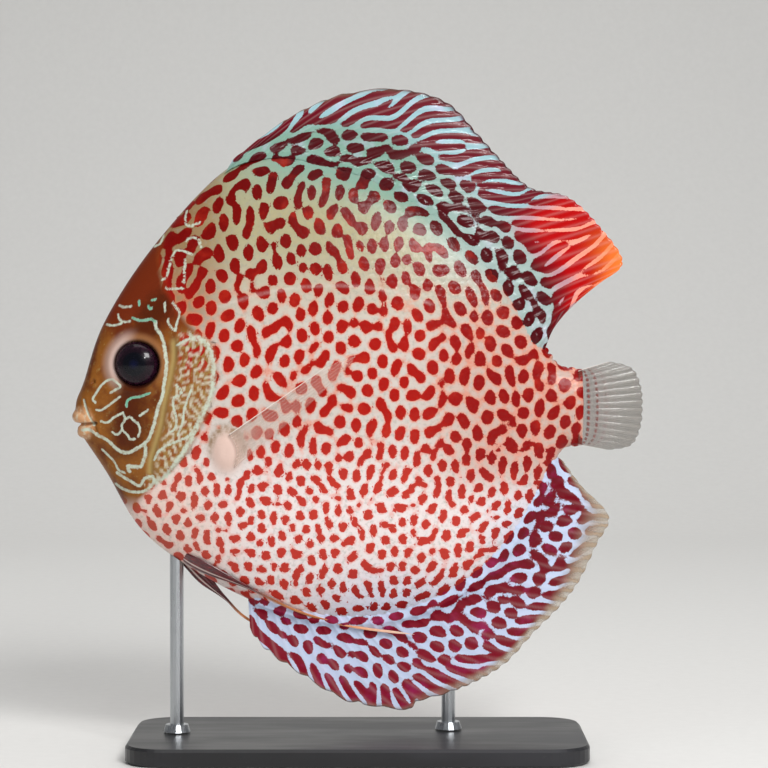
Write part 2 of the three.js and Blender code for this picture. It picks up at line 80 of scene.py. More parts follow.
# Fins along the back and the belly, ray by ray from front to rear, [root x, tip x, tip z]
DORSAL = [
    [-28.6, -27.3, 130.6], [-24.9, -15, 139.7], [-18.3, -2.9, 145], [-10.6, 9.2, 145.9], [-1.8, 19.6, 143],
    [7, 26.4, 136], [14.7, 31.2, 130.7], [21.3, 37.8, 124.3], [27.3, 46.2, 122.1], [31.9, 53.2, 115.5],
    [35.6, 58.1, 107.8], [38.7, 52.8, 103], [41.1, 44, 96.4],
]
ANAL = [
    [-24.2, -23.8, 26.4], [-21.1, -19.8, 21.8], [-16.1, -12.3, 16.7], [-10.1, -2.9, 11.2], [-4, 5.9, 9.7],
    [0.9, 11.2, 9.2], [5.9, 13.2, 11], [11.4, 19.6, 12.8], [17.4, 26.4, 15.6], [23.1, 32.8, 19.6],
    [28.4, 38.9, 26.2], [33, 44.4, 31.7], [36.5, 48.8, 37.4], [39.4, 52.6, 45.3], [41.1, 55.4, 51.7],
    [42.9, 49.3, 58.5], [43.8, 45.1, 64.2],
]
DORSAL_RAYS, DORSAL_SPINES, DORSAL_SWAY = 40, 9, 1.6
ANAL_RAYS, ANAL_SPINES, ANAL_SWAY = 37, 8, -1.3
FIN_ROOT_HALF, FIN_TIP_HALF, FIN_TAPER, FIN_SUNK = 1.25, 0.28, 1.7, 2.4
RAY_RIDGE = 0.2
# Fillet that spreads the root of a fin into the flank: how thick, and how far out it fades
FILLET, FILLET_FADE = 1.5, 1.6
# How far a ray sweeps back along the fin between root and tip, [share along, share swept]
DORSAL_SWEEP = [
    [0, 0.02], [0.17, 0.05], [0.25, 0.1], [0.42, 0.11], [0.5, 0.13], [0.6, 0.1], [0.7, 0.06], [0.78, 0.02],
    [0.85, 0], [1, 0],
]
ANAL_SWEEP = [
    [0, 0], [0.15, 0.03], [0.25, 0.06], [0.35, 0.12], [0.45, 0.15], [0.55, 0.12], [0.7, 0.1], [0.85, 0.06],
    [1, 0],
]
SWEEP_BEND = 1.6
# Depth of the notches in the margin, between soft rays and between spines
SCALLOP, SPINE_SCALLOP = 0.35, 0.9

# Tail fin, pectoral fins and pelvic fins
CAUDAL_ROOT = [[49.3, 84.2], [49.3, 75.9], [49.3, 67.6]]
CAUDAL_TIP = [
    [55.5, 86], [60.4, 84.5], [62.4, 80.6], [62.8, 76.2], [62.3, 71.2], [60.2, 67.4], [55.3, 66.4],
]
CAUDAL_RAYS, CAUDAL_ROOT_HALF, CAUDAL_TIP_HALF, CAUDAL_TAPER = 16, 2.3, 0.26, 4
CAUDAL_SWAY, CAUDAL_SUNK, CAUDAL_DOT_ROWS = 1.2, 1, 7.3211
PECTORAL_ROOT = [[-26.5, 71.3], [-25.3, 69.1], [-24.9, 66.9], [-25.6, 64]]
PECTORAL_TIP = [[-7, 84.9], [-0.4, 87.3], [-7.9, 79.2], [-16.1, 71.9]]
PECTORAL_RAYS, PECTORAL_LIFT, PECTORAL_SUNK = 11, [0.5, 2.4], 1.6
PELVIC_LEFT = [[-38.6, 43.4], [-33, 40.6], [-24, 36.6], [-13.6, 31.4], [-2, 27.9], [12.4, 26]]
PELVIC_RIGHT = [[-38.2, 42], [-34, 37.8], [-29.5, 33.6], [-23.6, 28.4], [-10, 23], [4, 20.5]]
PELVIC_WIDTH, FILAMENT_WIDTH, FILAMENT_FROM, PELVIC_HALF = 3.3, 0.6, 0.46, 0.32
STAND_OFF = 0.45

# How finely the meshes are made
SKIN_RINGS, SKIN_SIDES = 232, 416
HEAD_RINGS_UP_TO, HEAD_CROWDING = -28, 2.4
FIN_ROWS = 60
COLUMNS_PER_RAY = 8

# Scales: pitch along the body and down it, half length and half height of one, and corners of its rim
SCALE_PITCH = [1.7, 1.45]
SCALE_REACH = [1.32, 1.02]
SCALE_RIM = 12
# Height above the skin: the rim in front and at the rear, the ring half way in, the middle, the underside
RIM_SUNK, RIM_RAISED, RING_RAISED, MIDDLE_RAISED, UNDERSIDE = -0.09, 0.06, 0.022, 0.03, -0.3
# Half width of a scale's patch on the skin's unwrap
SCALE_PATCH = 0.0014
SCALE_SEEDS = {-1: 11, 1: 12}

# Pale lines of the face, [x, z]
FACE_LINES = {
    "brow": [[-49.1, 95.6], [-47.6, 95], [-45.8, 95.1], [-45, 95.3], [-43.9, 94.7]],
    "cheek": [
        [-43.9, 94.7], [-43.8, 93.4], [-42.8, 92], [-42.1, 90.3], [-41.7, 88.1], [-41.4, 85.9], [-41.7, 82.9],
        [-42.1, 80.7], [-42.5, 78.2], [-43.4, 76], [-43.9, 73.8], [-44.5, 71.6], [-45.4, 69.4], [-46.3, 68.3],
        [-47.6, 67.4], [-49.1, 66.6], [-50.5, 66.1], [-52.4, 66.8], [-53.6, 67.9], [-54.9, 69], [-56.8, 69.9],
        [-58.6, 71.1], [-60.2, 71],
    ],
    "branch": [
        [-46.3, 68.3], [-46.1, 66.4], [-46.5, 65], [-47.2, 63.3], [-48.7, 63.1], [-50.2, 63.2], [-49.8, 62.1],
    ],
    "jaw": [[-56, 66.8], [-54.6, 65.5], [-53.3, 64.2], [-52.4, 62.4], [-50.9, 61.7]],
    "chin": [
        [-52.7, 61.7], [-51.3, 60.8], [-49.4, 59.8], [-47.6, 58.9], [-46.5, 60.5], [-45, 61.1], [-44.3, 60.3],
        [-45.2, 58.7], [-47.2, 57.6], [-49.8, 57.6], [-51.6, 58.2], [-53.1, 59.1],
    ],
    "nose": [
        [-57.3, 77.1], [-57.9, 77.8], [-57.3, 78.9], [-56.4, 80.2], [-55.5, 81.3], [-53.8, 82.2],
        [-52.7, 81.7], [-51.6, 80.6], [-52.7, 80], [-53.9, 79.2],
    ],
    "streak_upper": [[-57.1, 75.5], [-56, 75.4], [-54.6, 76.3], [-53.1, 77.4], [-51.8, 78.4]],
    "streak_lower": [[-56, 73], [-54.7, 72.7], [-53.5, 73.6], [-52.4, 74.3], [-51.1, 74.9]],
    "under_eye": [[-50.3, 76.3], [-50.2, 77.4], [-49.1, 78.2], [-47.2, 78.5], [-45.2, 79.2]],
    "star_left": [[-51.1, 74.9], [-50.7, 73.4], [-51.4, 72.3], [-51.4, 71.2], [-52.5, 70.1], [-53.6, 70.7]],
    "star_right": [[-50.7, 73.4], [-49.6, 74], [-48.7, 73.2], [-47.6, 72.3], [-47.4, 70.8], [-47.8, 69.7]],
    "star_low": [[-51.4, 71.2], [-50.2, 70.1], [-49.5, 69.1], [-48.5, 69.2]],
    "patch": [[-47.4, 74.3], [-46.5, 74.9], [-45.6, 75.5]],
    "forehead_a": [[-52.4, 96.3], [-52, 95.2], [-50.9, 94.7], [-49.7, 94.8]],
    "forehead_b": [[-55, 94.1], [-53.5, 93.9], [-51.6, 94.3]],
    "forehead_c": [[-52.2, 98.3], [-50.9, 97.9], [-49.4, 98.1]],
    "dot_a": [[-44.8, 99.4], [-43.9, 99.6]],
    "dot_b": [[-45.6, 98.2], [-45.2, 97.5], [-44.8, 97.7]],
    "dot_c": [[-47.7, 99.3], [-47.6, 98.3]],
    "dot_d": [[-41.9, 98.8], [-41.8, 96.9]],
    "hook": [
        [-40.2, 98.9], [-39.5, 98], [-38.7, 96.9], [-38.8, 95.6], [-39.3, 94.3], [-39.5, 92.8], [-40.3, 93.4],
        [-41, 94.3], [-41.2, 95.2],
    ],
    "jaw_fold": JAW_FOLD[:4],
    "lid_rim": [
        [-36.2, 92], [-35.3, 91], [-34, 91.1], [-32.2, 89.2], [-31.4, 87], [-31.2, 84.8], [-31.3, 82.2],
        [-31.5, 79.6], [-32.2, 77.4], [-33.3, 75.2], [-34.4, 73], [-35.5, 70.5], [-37, 67.9], [-38.5, 65.3],
        [-40.3, 63.1], [-42.1, 60.9], [-43.8, 59.8],
    ],
    "lid_front": [
        [-39.3, 81.1], [-38.1, 79.3], [-39.9, 78.2], [-39.9, 76], [-39.3, 73.8], [-39.5, 71.8], [-40.6, 70.8],
    ],
    "lid_middle": [[-36, 80], [-36.9, 77.8], [-37.6, 75.4], [-38, 72.7], [-39.1, 70.1]],
    "lid_low": [[-42.8, 66.8], [-41.4, 67.9], [-39.5, 68.6], [-37.7, 69.4], [-36, 70.5], [-35.5, 71.6]],
    "lid_lowest": [[-44.3, 64.6], [-43.4, 66.4], [-42.1, 67.4]],
    "lid_top": [[-39.2, 89.5], [-37.7, 90.6], [-36.2, 91.2]],
    "nape_a": [[-37.5, 118.9], [-37.7, 117], [-37, 115.6], [-34.4, 116.3]],
    "nape_b": [[-37.3, 112.3], [-36.4, 113], [-34.6, 112.6], [-34, 110.8]],
    "nape_c": [[-42.6, 103.8], [-41.5, 104.6], [-41, 106.8], [-39.5, 110.3], [-35.9, 109.3]],
    "nape_d": [[-41.7, 102], [-40.6, 101.8], [-37.9, 102]],
    "nape_e": [[-37.5, 108.2], [-37.7, 103.1]],
    "nape_f": [[-44.7, 111.2], [-43.2, 111.9], [-42.6, 113.7]],
}
TURQUOISE_LINES = ["brow", "under_eye", "dot_a", "dot_b", "dot_c"]
LINE_HALF_WIDTH = 0.3
WIDER_LINES = {"cheek": 1.45, "lid_rim": 2.7, "branch": 1.6, "chin": 1.3}
EYE_BAR = [[-38.5, 106], [-42, 100.2], [-45.4, 94.3], [-48, 86.2], [-49, 77.8], [-49.8, 72.3], [-50.4, 66]]

# Edge between the scaled body and the bare face, [z, x] upwards
SCALES_FROM = [
    [30, -50], [50, -49.5], [56, -47.5], [58.9, -44.4], [66, -37.1], [74.6, -32.7], [83.4, -30.6],
    [90, -31.6], [93.5, -36], [97, -39], [102, -42], [108, -43.5], [114, -43], [120, -39],
]


def smooth(low, high, value):
    t = np.clip((value - low) / (high - low), 0, 1)
    return t * t * (3 - 2 * t)


def lerp(a, b, t):
    return a + (b - a) * t


def bell(distance, width):
    return np.exp(-((distance / width) ** 2))


def read_off(table, value):
    """The second column of a table, at a value of its first."""
    return np.interp(value, *np.transpose(table))


def laid_over(start, layers):
    """One value after another laid over the start, each by its own share."""
    for amount, value in layers:
        start = lerp(start, value, amount)
    return start


def curve_through(points):
    """The smooth curve through the points, evenly timed, with its ends as in the part's source."""
    points = np.array(points, float)
    last = len(points) - 1

    def at(t):
        place = np.clip(np.asarray(t, float), 0, 1) * last
        i = np.minimum(place.astype(int), last - 1)
        w = (place - i)[..., None]
        before, a, b = points[np.maximum(i - 1, 0)], points[i], points[i + 1]
        after = points[np.minimum(i + 2, last)]
        leave, arrive = (b - before) / 2, (after - a) / 2
        cubed, squared = 2 * (a - b) + leave + arrive, 3 * (b - a) - 2 * leave - arrive
        return cubed * w**3 + squared * w**2 + leave * w + a

    return at


def height_along(points):
    samples = curve_through(points)(np.linspace(0, 1, 801))
    return lambda x: np.interp(x, samples[:, 0], samples[:, 1])


back_at = height_along(BACK)
belly_at = height_along(BELLY)
thickness_at = height_along(HALF_THICKNESS)
SNOUT_X, TAIL_X = BACK[0][0], BACK[-1][0]


def flank_share(height):
    return (1 - np.minimum(1, np.abs(height)) ** FLANK_FLATNESS) ** (1 / EDGE_ROUNDNESS)


def height_share(x, z):
    middle, half = (back_at(x) + belly_at(x)) / 2, (back_at(x) - belly_at(x)) / 2
    return (z - middle) / np.maximum(half, 0.01)


def flank(x, z):
    return thickness_at(x) * flank_share(height_share(x, z))


def from_pad(x, z, wider=0, taller=0):
    """Distance from the middle of the pectoral fin's root, with 1 at the edge of its pad."""
    across = (x - PECTORAL_PAD["x"]) / (PECTORAL_PAD["half_width"] + wider)
    return np.hypot(across, (z - PECTORAL_PAD["z"]) / (PECTORAL_PAD["half_height"] + taller))


def distance_to(x, z, points, steps=12):
    """How far each place is from a curve, in the side view."""
    line = curve_through(points)(np.linspace(0, 1, steps * (len(points) - 1) + 1))
    found = np.full(np.shape(x), np.inf)
    for (ax, az), (bx, bz) in zip(line[:-1], line[1:]):
        dx, dz = bx - ax, bz - az
        t = np.clip(((x - ax) * dx + (z - az) * dz) / max(dx * dx + dz * dz, 1e-9), 0, 1)
        found = np.minimum(found, (x - ax - t * dx) ** 2 + (z - az - t * dz) ** 2)
    return np.sqrt(found)


# Markings are grown on a grid over the side view: each step strengthens the spot spacing and the
# direction that belong to the place, until spots, worm lines and fin streaks stand out.
CELL = 0.33
GRID_X = np.arange(-67, 67, CELL)
GRID_Z = np.arange(3, 151, CELL)
BODY_CENTRE = [-4, 80]
# Spacing and length to width of the marks: low flank, mid flank, upper flank, fin base, fin streaks
MARK_KINDS = [[2.35, 1.2], [3.0, 1.35], [2.8, 1.75], [2.75, 1.5], [2.6, 3.6]]
STREAKS_ABOVE = 3
BAND_WIDTH = 0.36
# Share out from the body where the streaks begin, [share along the fin, share out]
DORSAL_STREAKS_FROM = [[0, 0.1], [0.2, 0.4], [0.45, 0.6], [0.6, 0.5], [0.72, 0.32], [1, 0.3]]
ANAL_STREAKS_FROM = [[0, 0.5], [0.15, 0.72], [0.5, 0.72], [1, 0.85]]
LOBE_FROM, LOBE_FULL = 0.6, 0.7
DIRECTIONS = 8
GROWTH_STEPS = 6
GROWTH_GAIN = 2.7
LEVEL_REACH = 4.5
FILL_REACH = 3
# How far the direction of the marks wanders, as an angle on the flank and on the streaks, and how finely
WANDER, STREAK_WANDER, WANDER_REACH = 0.1, 0.3, 2.2
# Rise of the field that covers the whole of a place instead of half of it
COVER_RISE = 1.25


def frequencies(shape, cell):
    return np.fft.fftfreq(shape[0], cell)[:, None], np.fft.rfftfreq(shape[1], cell)[None]


def blur(field, reach, cell=CELL):
    kx, kz = frequencies(field.shape, cell)
    soft = np.exp(-2 * (np.pi * reach) ** 2 * (kx**2 + kz**2))
    return np.fft.irfft2(np.fft.rfft2(field) * soft, s=field.shape)


def sample(field, x, z, left=GRID_X[0], low=GRID_Z[0], cell=CELL):
    a = np.clip((x - left) / cell, 0, field.shape[0] - 1.001)
    b = np.clip((z - low) / cell, 0, field.shape[1] - 1.001)
    i, j = a.astype(int), b.astype(int)
    u, v = a - i, b - j
    near = field[i, j] * (1 - v) + field[i, j + 1] * v
    far = field[i + 1, j] * (1 - v) + field[i + 1, j + 1] * v
    return near * (1 - u) + far * u


def fin_lines(table, edge_at):
    """Root and tip of the fin at each step of u, front to rear."""
    root_x = curve_through([[x] for x, _, _ in table])
    tip_of = curve_through([[x, z] for _, x, z in table])

    def at(u):
        x = root_x(u)[..., 0]
        edge, tip = np.stack([x, edge_at(x)], -1), tip_of(u)
        inwards = (edge - tip) / np.linalg.norm(edge - tip, axis=-1, keepdims=True)
        return edge, edge + inwards * FIN_SUNK, tip

    return at


dorsal_lines = fin_lines(DORSAL, back_at)
anal_lines = fin_lines(ANAL, belly_at)


def swept(u, v, sweep):
    """Share along the root of the ray that passes through a place on the fin."""
    return u - read_off(sweep, u) * v**SWEEP_BEND


def fin_on_grid(lines, sweep):
    """Share along the fin, share out from the body and direction of the rays, over the grid."""
    u = np.linspace(0, 1, 1500)
    v = np.linspace(0, 1, 400)
    edge, _, tip = lines(u)
    places = edge[:, None] + (tip - edge)[:, None] * v[None, :, None]
    i = np.clip(np.rint((places[..., 0] - GRID_X[0]) / CELL).astype(int), 0, len(GRID_X) - 1)
    j = np.clip(np.rint((places[..., 1] - GRID_Z[0]) / CELL).astype(int), 0, len(GRID_Z) - 1)
    bend = SWEEP_BEND * read_off(sweep, u)[:, None] * v[None] ** (SWEEP_BEND - 1)
    ray = (tip - edge)[:, None] + np.gradient(places, u, axis=0) * bend[..., None]
    turn = 2 * np.arctan2(ray[..., 1], ray[..., 0])
    layers = np.zeros((4, len(GRID_X), len(GRID_Z)))
    for layer, value in zip(layers, [u[:, None], v[None], np.cos(turn), np.sin(turn)]):
        layer[i, j] = np.broadcast_to(value, i.shape)
    known = np.zeros(layers[0].shape)
    known[i, j] = 1
    weight = np.maximum(blur(known, FILL_REACH), 1e-6)
    along, out, c, s = [np.where(known > 0, f, blur(f * known, FILL_REACH) / weight) for f in layers]
    return along, out, c, s, weight > 1e-4


def from_centre(x, z):
    """Angle and distance of a place as seen from the middle of the body."""
    across, up = x - BODY_CENTRE[0], z - BODY_CENTRE[1]
    return np.arctan2(up, across), np.hypot(up, across)


def grow_marks(seed):
    x, z = np.meshgrid(GRID_X, GRID_Z, indexing="ij")
    around, reach = from_centre(x, z)
    edge_x = np.linspace(SNOUT_X, TAIL_X, 900)
    angles, radii = from_centre(np.tile(edge_x, 2), np.concatenate([back_at(edge_x), belly_at(edge_x)]))
    rho = reach / np.interp(around, angles, radii, period=2 * np.pi)

    d_along, d_out, d_cos, d_sin, d_near = fin_on_grid(dorsal_lines, DORSAL_SWEEP)
    a_along, a_out, a_cos, a_sin, a_near = fin_on_grid(anal_lines, ANAL_SWEEP)
    d_out = np.where(d_near & (z > back_at(x)), np.clip(d_out, 0, 1), 0)
    a_out = np.where(a_near & (z < belly_at(x)), np.clip(a_out, 0, 1), 0)
    d_start, a_start = read_off(DORSAL_STREAKS_FROM, d_along), read_off(ANAL_STREAKS_FROM, a_along)
    d_streaks = smooth(d_start - 0.08, d_start + 0.1, d_out)
    a_streaks = smooth(a_start - 0.1, a_start + 0.12, a_out)
    streaks = np.maximum(d_streaks, a_streaks)

    # Direction: upright on the flank, along the outline near it, along the rays far out on the fins
    by_outline = np.maximum(smooth(0.8, 1, rho), smooth(0.55, 0.95, rho) * smooth(5, 35, x))
    lean = np.deg2rad(90 - 12 * smooth(-5, -40, x) + 12 * smooth(5, 35, x) * smooth(70, 100, z))
    a_rays = np.maximum(smooth(0.15, 0.35, a_out), a_streaks)
    c, s = [
        laid_over(turned(2 * lean), ((by_outline, turned(2 * around + np.pi)), (d_streaks, d), (a_rays, a)))
        for turned, d, a in ((np.cos, d_cos, a_cos), (np.sin, d_sin, a_sin))
    ]
    rng = np.random.default_rng(seed)
    wander = blur(rng.normal(size=x.shape), WANDER_REACH)
    direction = np.arctan2(s, c) / 2 + lerp(WANDER, STREAK_WANDER, streaks) * wander / wander.std()

    # Kind of mark
    mid = smooth(58, 78, z)
    upper = smooth(100, 116, z) * (1 - smooth(20, 36, x))
    kinds = [(1 - upper) * (1 - mid), (1 - upper) * mid, upper, 0 * x, 0 * x]
    d_base = np.maximum(smooth(-0.03, 0.06, d_out), smooth(0.94, 1.03, rho) * smooth(95, 110, z))
    a_base = smooth(0.9, 1.03, rho) * (1 - smooth(60, 75, z)) * smooth(-35, -20, x)
    a_base = np.maximum(smooth(-0.03, 0.1, a_out), a_base)
    rear = smooth(12, 34, x) * smooth(56, 70, z)
    dense = np.maximum(d_base, 0.8 * rear)
    for amount, into in ((dense, 3), (0.7 * a_base, 3), (streaks, 4)):
        kinds = [k * (1 - amount) for k in kinds]
        kinds[into] = kinds[into] + amount

    # Pull towards separate spots below 0, and how much of the skin the marks cover
    nape = smooth(-26, -42, x) * smooth(88, 104, z)
    lobe = smooth(LOBE_FROM, LOBE_FULL, d_along) * d_streaks
    tail = smooth(30, 42, x) * smooth(60, 70, z)
    dark_back = smooth(0.42, 0.52, d_along) * smooth(0.25, 0.6, d_out)
    pull = laid_over(-0.7, (
        (nape, -0.25), (upper, -0.5), (dense, -0.82), (a_base, -0.82), (d_streaks, 0), (a_streaks, 0),
        (lobe, 0),
    ))
    cover = laid_over(0.46, (
        (1 - smooth(50, 74, z), 0.3), (upper, 0.53), (rear, 0.56), (nape, 0.88), (tail, 0.58),
        (smooth(-5, 30, x) * smooth(52, 36, z), 0.5), (d_base, 0.74), (a_base * smooth(-10, 20, x), 0.72),
        (a_base * smooth(20, -10, x), 0.6), (d_streaks, 0.64), (a_streaks, 0.76), (dark_back, 0.78),
        (lobe, 0.8),
    ))

    kx, kz = frequencies(x.shape, CELL)
    bank = []
    for turn in np.arange(DIRECTIONS) * np.pi / DIRECTIONS:
        apart = np.abs((direction - turn + np.pi / 2) % np.pi - np.pi / 2)
        facing = np.clip(1 - apart * DIRECTIONS / np.pi, 0, 1)
        along = kx * np.cos(turn) + kz * np.sin(turn)
        across = kz * np.cos(turn) - kx * np.sin(turn)
        for (spacing, elongation), amount in zip(MARK_KINDS, kinds):
            if (amount * facing).max() > 0.02:
                streaky = elongation > STREAKS_ABOVE
                ring = np.hypot(along * (1 if streaky else elongation), across) * spacing
                band = np.exp(-(((ring - 1) / BAND_WIDTH) ** 2) / 2) * (ring > 0)
                if streaky:
                    band = band * bell(along * spacing * elongation, 1.7)
                bank.append((band, amount * facing))
    marks = rng.normal(size=x.shape) * 0.5
    for _ in range(GROWTH_STEPS):
        spectrum = np.fft.rfft2(marks)
        grown = sum(amount * np.fft.irfft2(spectrum * band, s=x.shape) for band, amount in bank)
        marks = np.tanh(GROWTH_GAIN * grown + pull)
    # The field is levelled place by place, so that its part above 0 covers the wanted share
    field = blur(0.35 * marks + grown, 0.2)
    level = blur(field, LEVEL_REACH)
    spread = np.sqrt(blur((field - level) ** 2, LEVEL_REACH))
    return (field - level) / spread - COVER_RISE * (1 - 2 * cover)


# Fine net of the gill cover, grown in the same way but without a direction
NET_CELL = 0.16
NET_LEFT, NET_LOW = -47, 56
NET_SHAPE = (128, 248)
NET_SPACING = 1.5


def grow_net(seed):
    kx, kz = frequencies(NET_SHAPE, NET_CELL)
    band = np.exp(-(((np.hypot(kx, kz) * NET_SPACING - 1) / 0.35) ** 2) / 2)
    net = np.random.default_rng(seed).normal(size=NET_SHAPE)
    for _ in range(GROWTH_STEPS):
        net = np.tanh(3 * np.fft.irfft2(np.fft.rfft2(net) * band, s=NET_SHAPE) - 0.15)
    return blur(net, 0.15, NET_CELL)


marks_field = grow_marks(seed=7)
net_field = grow_net(seed=3)


def marks_at(x, z):
    return sample(marks_field, x, z)


def looks_at(x, z):
    """What the skin shows at a place in the side view, each from 0 to 1, with the marks from -1 to 1."""
    near = (x < -24) & (z > 52) & (z < 124)

    def apart(points, steps=4):
        found = np.full(np.shape(x), 99.0)
        found[near] = distance_to(x[near], z[near], points, steps)
        return found

    face = smooth(1.2, -1.2, x - read_off(SCALES_FROM, z)) * smooth(123, 116, z) * smooth(52, 57, z)
    pad = from_pad(x, z, wider=0.2)
    line, bright = np.zeros(np.shape(x)), np.zeros(np.shape(x))
    for name, points in FACE_LINES.items():
        found = bell(apart(points, 3), LINE_HALF_WIDTH * WIDER_LINES.get(name, 1))
        line = np.maximum(line, found * (0.75 if name == "lid_rim" else 1))
        if name in TURQUOISE_LINES:
            bright = np.maximum(bright, found)
    on_lid = smooth(0.4, 2.2, apart(CHEEK_GROOVE, 3)) * (x > np.interp(z, [60, 95], [-46.5, -38.6]))
    on_lid = on_lid * face * smooth(93.5, 91, z)
    net = sample(net_field, x, z, NET_LEFT, NET_LOW, NET_CELL)
    to_eye = np.hypot(x - EYE["x"], z - EYE["z"])
    ahead = (EYE["x"] - x) * 0.9 + (z - EYE["z"]) * 0.25
    return {
        "marks": marks_at(x, z) - 4 * smooth(1.3, 0.8, pad),
        "face": face,
        "low": smooth(78, 52, z),
        "upper": smooth(88, 116, z),
        "rear_flank": smooth(8, 30, x) * smooth(52, 66, z),
        "nape": smooth(-24, -37, x) * smooth(84, 100, z) * 0.85,
        "forehead": face * smooth(90, 97, z),
        "turquoise": smooth(0.72, 0.98, height_share(x, z)) * smooth(-34, -14, x) * smooth(86, 104, z),
        "greyer": smooth(8, 28, x),
        "blue": np.maximum(smooth(46, 28, z) * smooth(-25, 10, x), smooth(22, 42, x) * smooth(62, 48, z)),
        "breast": smooth(26, 8, np.hypot(x + 47, (z - 48) * 0.9)) * (1 - face),
        "line": line,
        "line_bright": bright,
        "net": smooth(0.05, 0.5, net) * on_lid,
        "lid": on_lid,
        "lid_top": smooth(80, 87, z),
        "groove": bell(apart(CHEEK_GROOVE), 0.75),
        "bar": smooth(6.5, 0.3, apart(EYE_BAR)) * smooth(60, 70, z) * smooth(108, 96, z),
        "orbit": smooth(8.4, 5.2, to_eye) * smooth(1.0, 4.6, ahead),
        "orbit_tan": smooth(7.4, 5.6, to_eye) * smooth(-5, -1, z - EYE["z"]) * 0.85,
        # Painted shade: a dark ring on the skin where it meets the eyeball, in the crease of the socket
        "orbit_painted_shade": bell(to_eye - 4.9, 0.45),
        "lips": smooth(3.4, 1.8, np.hypot(x + 60.4, (z - 72.4) * 0.75)),
        "pad": smooth(1.2, 0.55, pad) * 0.9,
        "pad_rim": bell(pad - 0.95, 0.2) * smooth(64, 69, z) * 0.9,
        "lateral": bell(distance_to(x, z, LATERAL_LINE, 3), 0.3) * (1 - face),
    }


# Colours are written as they look on a screen
def linear(colour):
    values = [int(colour[i:i + 2], 16) / 255 for i in (1, 3, 5)]
    return [v / 12.92 if v <= 0.04045 else ((v + 0.055) / 1.055) ** 2.4 for v in values] + [1]


def feed(node, inputs):
    """Sets or links a node's inputs by name or number. A word stands for the point values of that name."""
    for name, value in inputs.items():
        if isinstance(value, str):
            value = add(node.id_data, "ShaderNodeAttribute", attribute_name=value).outputs["Fac"]
        if isinstance(value, bpy.types.NodeSocket):
            node.id_data.links.new(value, node.inputs[name])
        else:
            node.inputs[name].default_value = value


def add(tree, kind, inputs=None, **settings):
    """Adds a node with its settings and its inputs."""
    made = tree.nodes.new(kind)
    for name, value in settings.items():
        setattr(made, name, value)
    feed(made, inputs or {})
    return made


def new_material(name):
    material = bpy.data.materials.new(name)
    material.use_nodes = True
    tree = material.node_tree
    return material, tree, tree.nodes["Principled BSDF"]


def maths(tree, operation, *values):
    return add(tree, "ShaderNodeMath", dict(enumerate(values)), operation=operation).outputs[0]


def product(tree, first, *others):
    for other in others:
        first = maths(tree, "MULTIPLY", first, other)
    return first


def uneven(tree, value, noise, amount):
    """A value made higher and lower by up to half the amount of a noise."""
    return maths(tree, "ADD", value, maths(tree, "MULTIPLY_ADD", noise, amount, -amount / 2))


def blended(tree, start, layers):
    """One colour after another laid over the start, each by its own share or by the product of several."""
    colour = linear(start)
    for over, *amounts in layers:
        over = linear(over) if isinstance(over, str) else over
        inputs = {0: product(tree, *amounts), 6: colour, 7: over}
        colour = add(tree, "ShaderNodeMix", inputs, data_type="RGBA").outputs[2]
    return colour


def ramped(tree, value, low, high, to_low=0.0, to_high=1.0):
    made = add(
        tree, "ShaderNodeMapRange",
        {"Value": value, "From Min": low, "From Max": high, "To Min": to_low, "To Max": to_high},
        interpolation_type="SMOOTHSTEP",
    )
    return made.outputs["Result"]


def grain(tree, millimetres, detail=2.0, rough=0.55, stretch=(1, 1, 1)):
    """Noise with lumps of a real size."""
    place = add(tree, "ShaderNodeTexCoord").outputs["Object"]
    turned = add(tree, "ShaderNodeMapping", {"Vector": place, "Scale": stretch}).outputs["Vector"]
    settings = {"Vector": turned, "Scale": 1 / (millimetres * MM), "Detail": detail, "Roughness": rough}
    return add(tree, "ShaderNodeTexNoise", settings).outputs["Fac"]


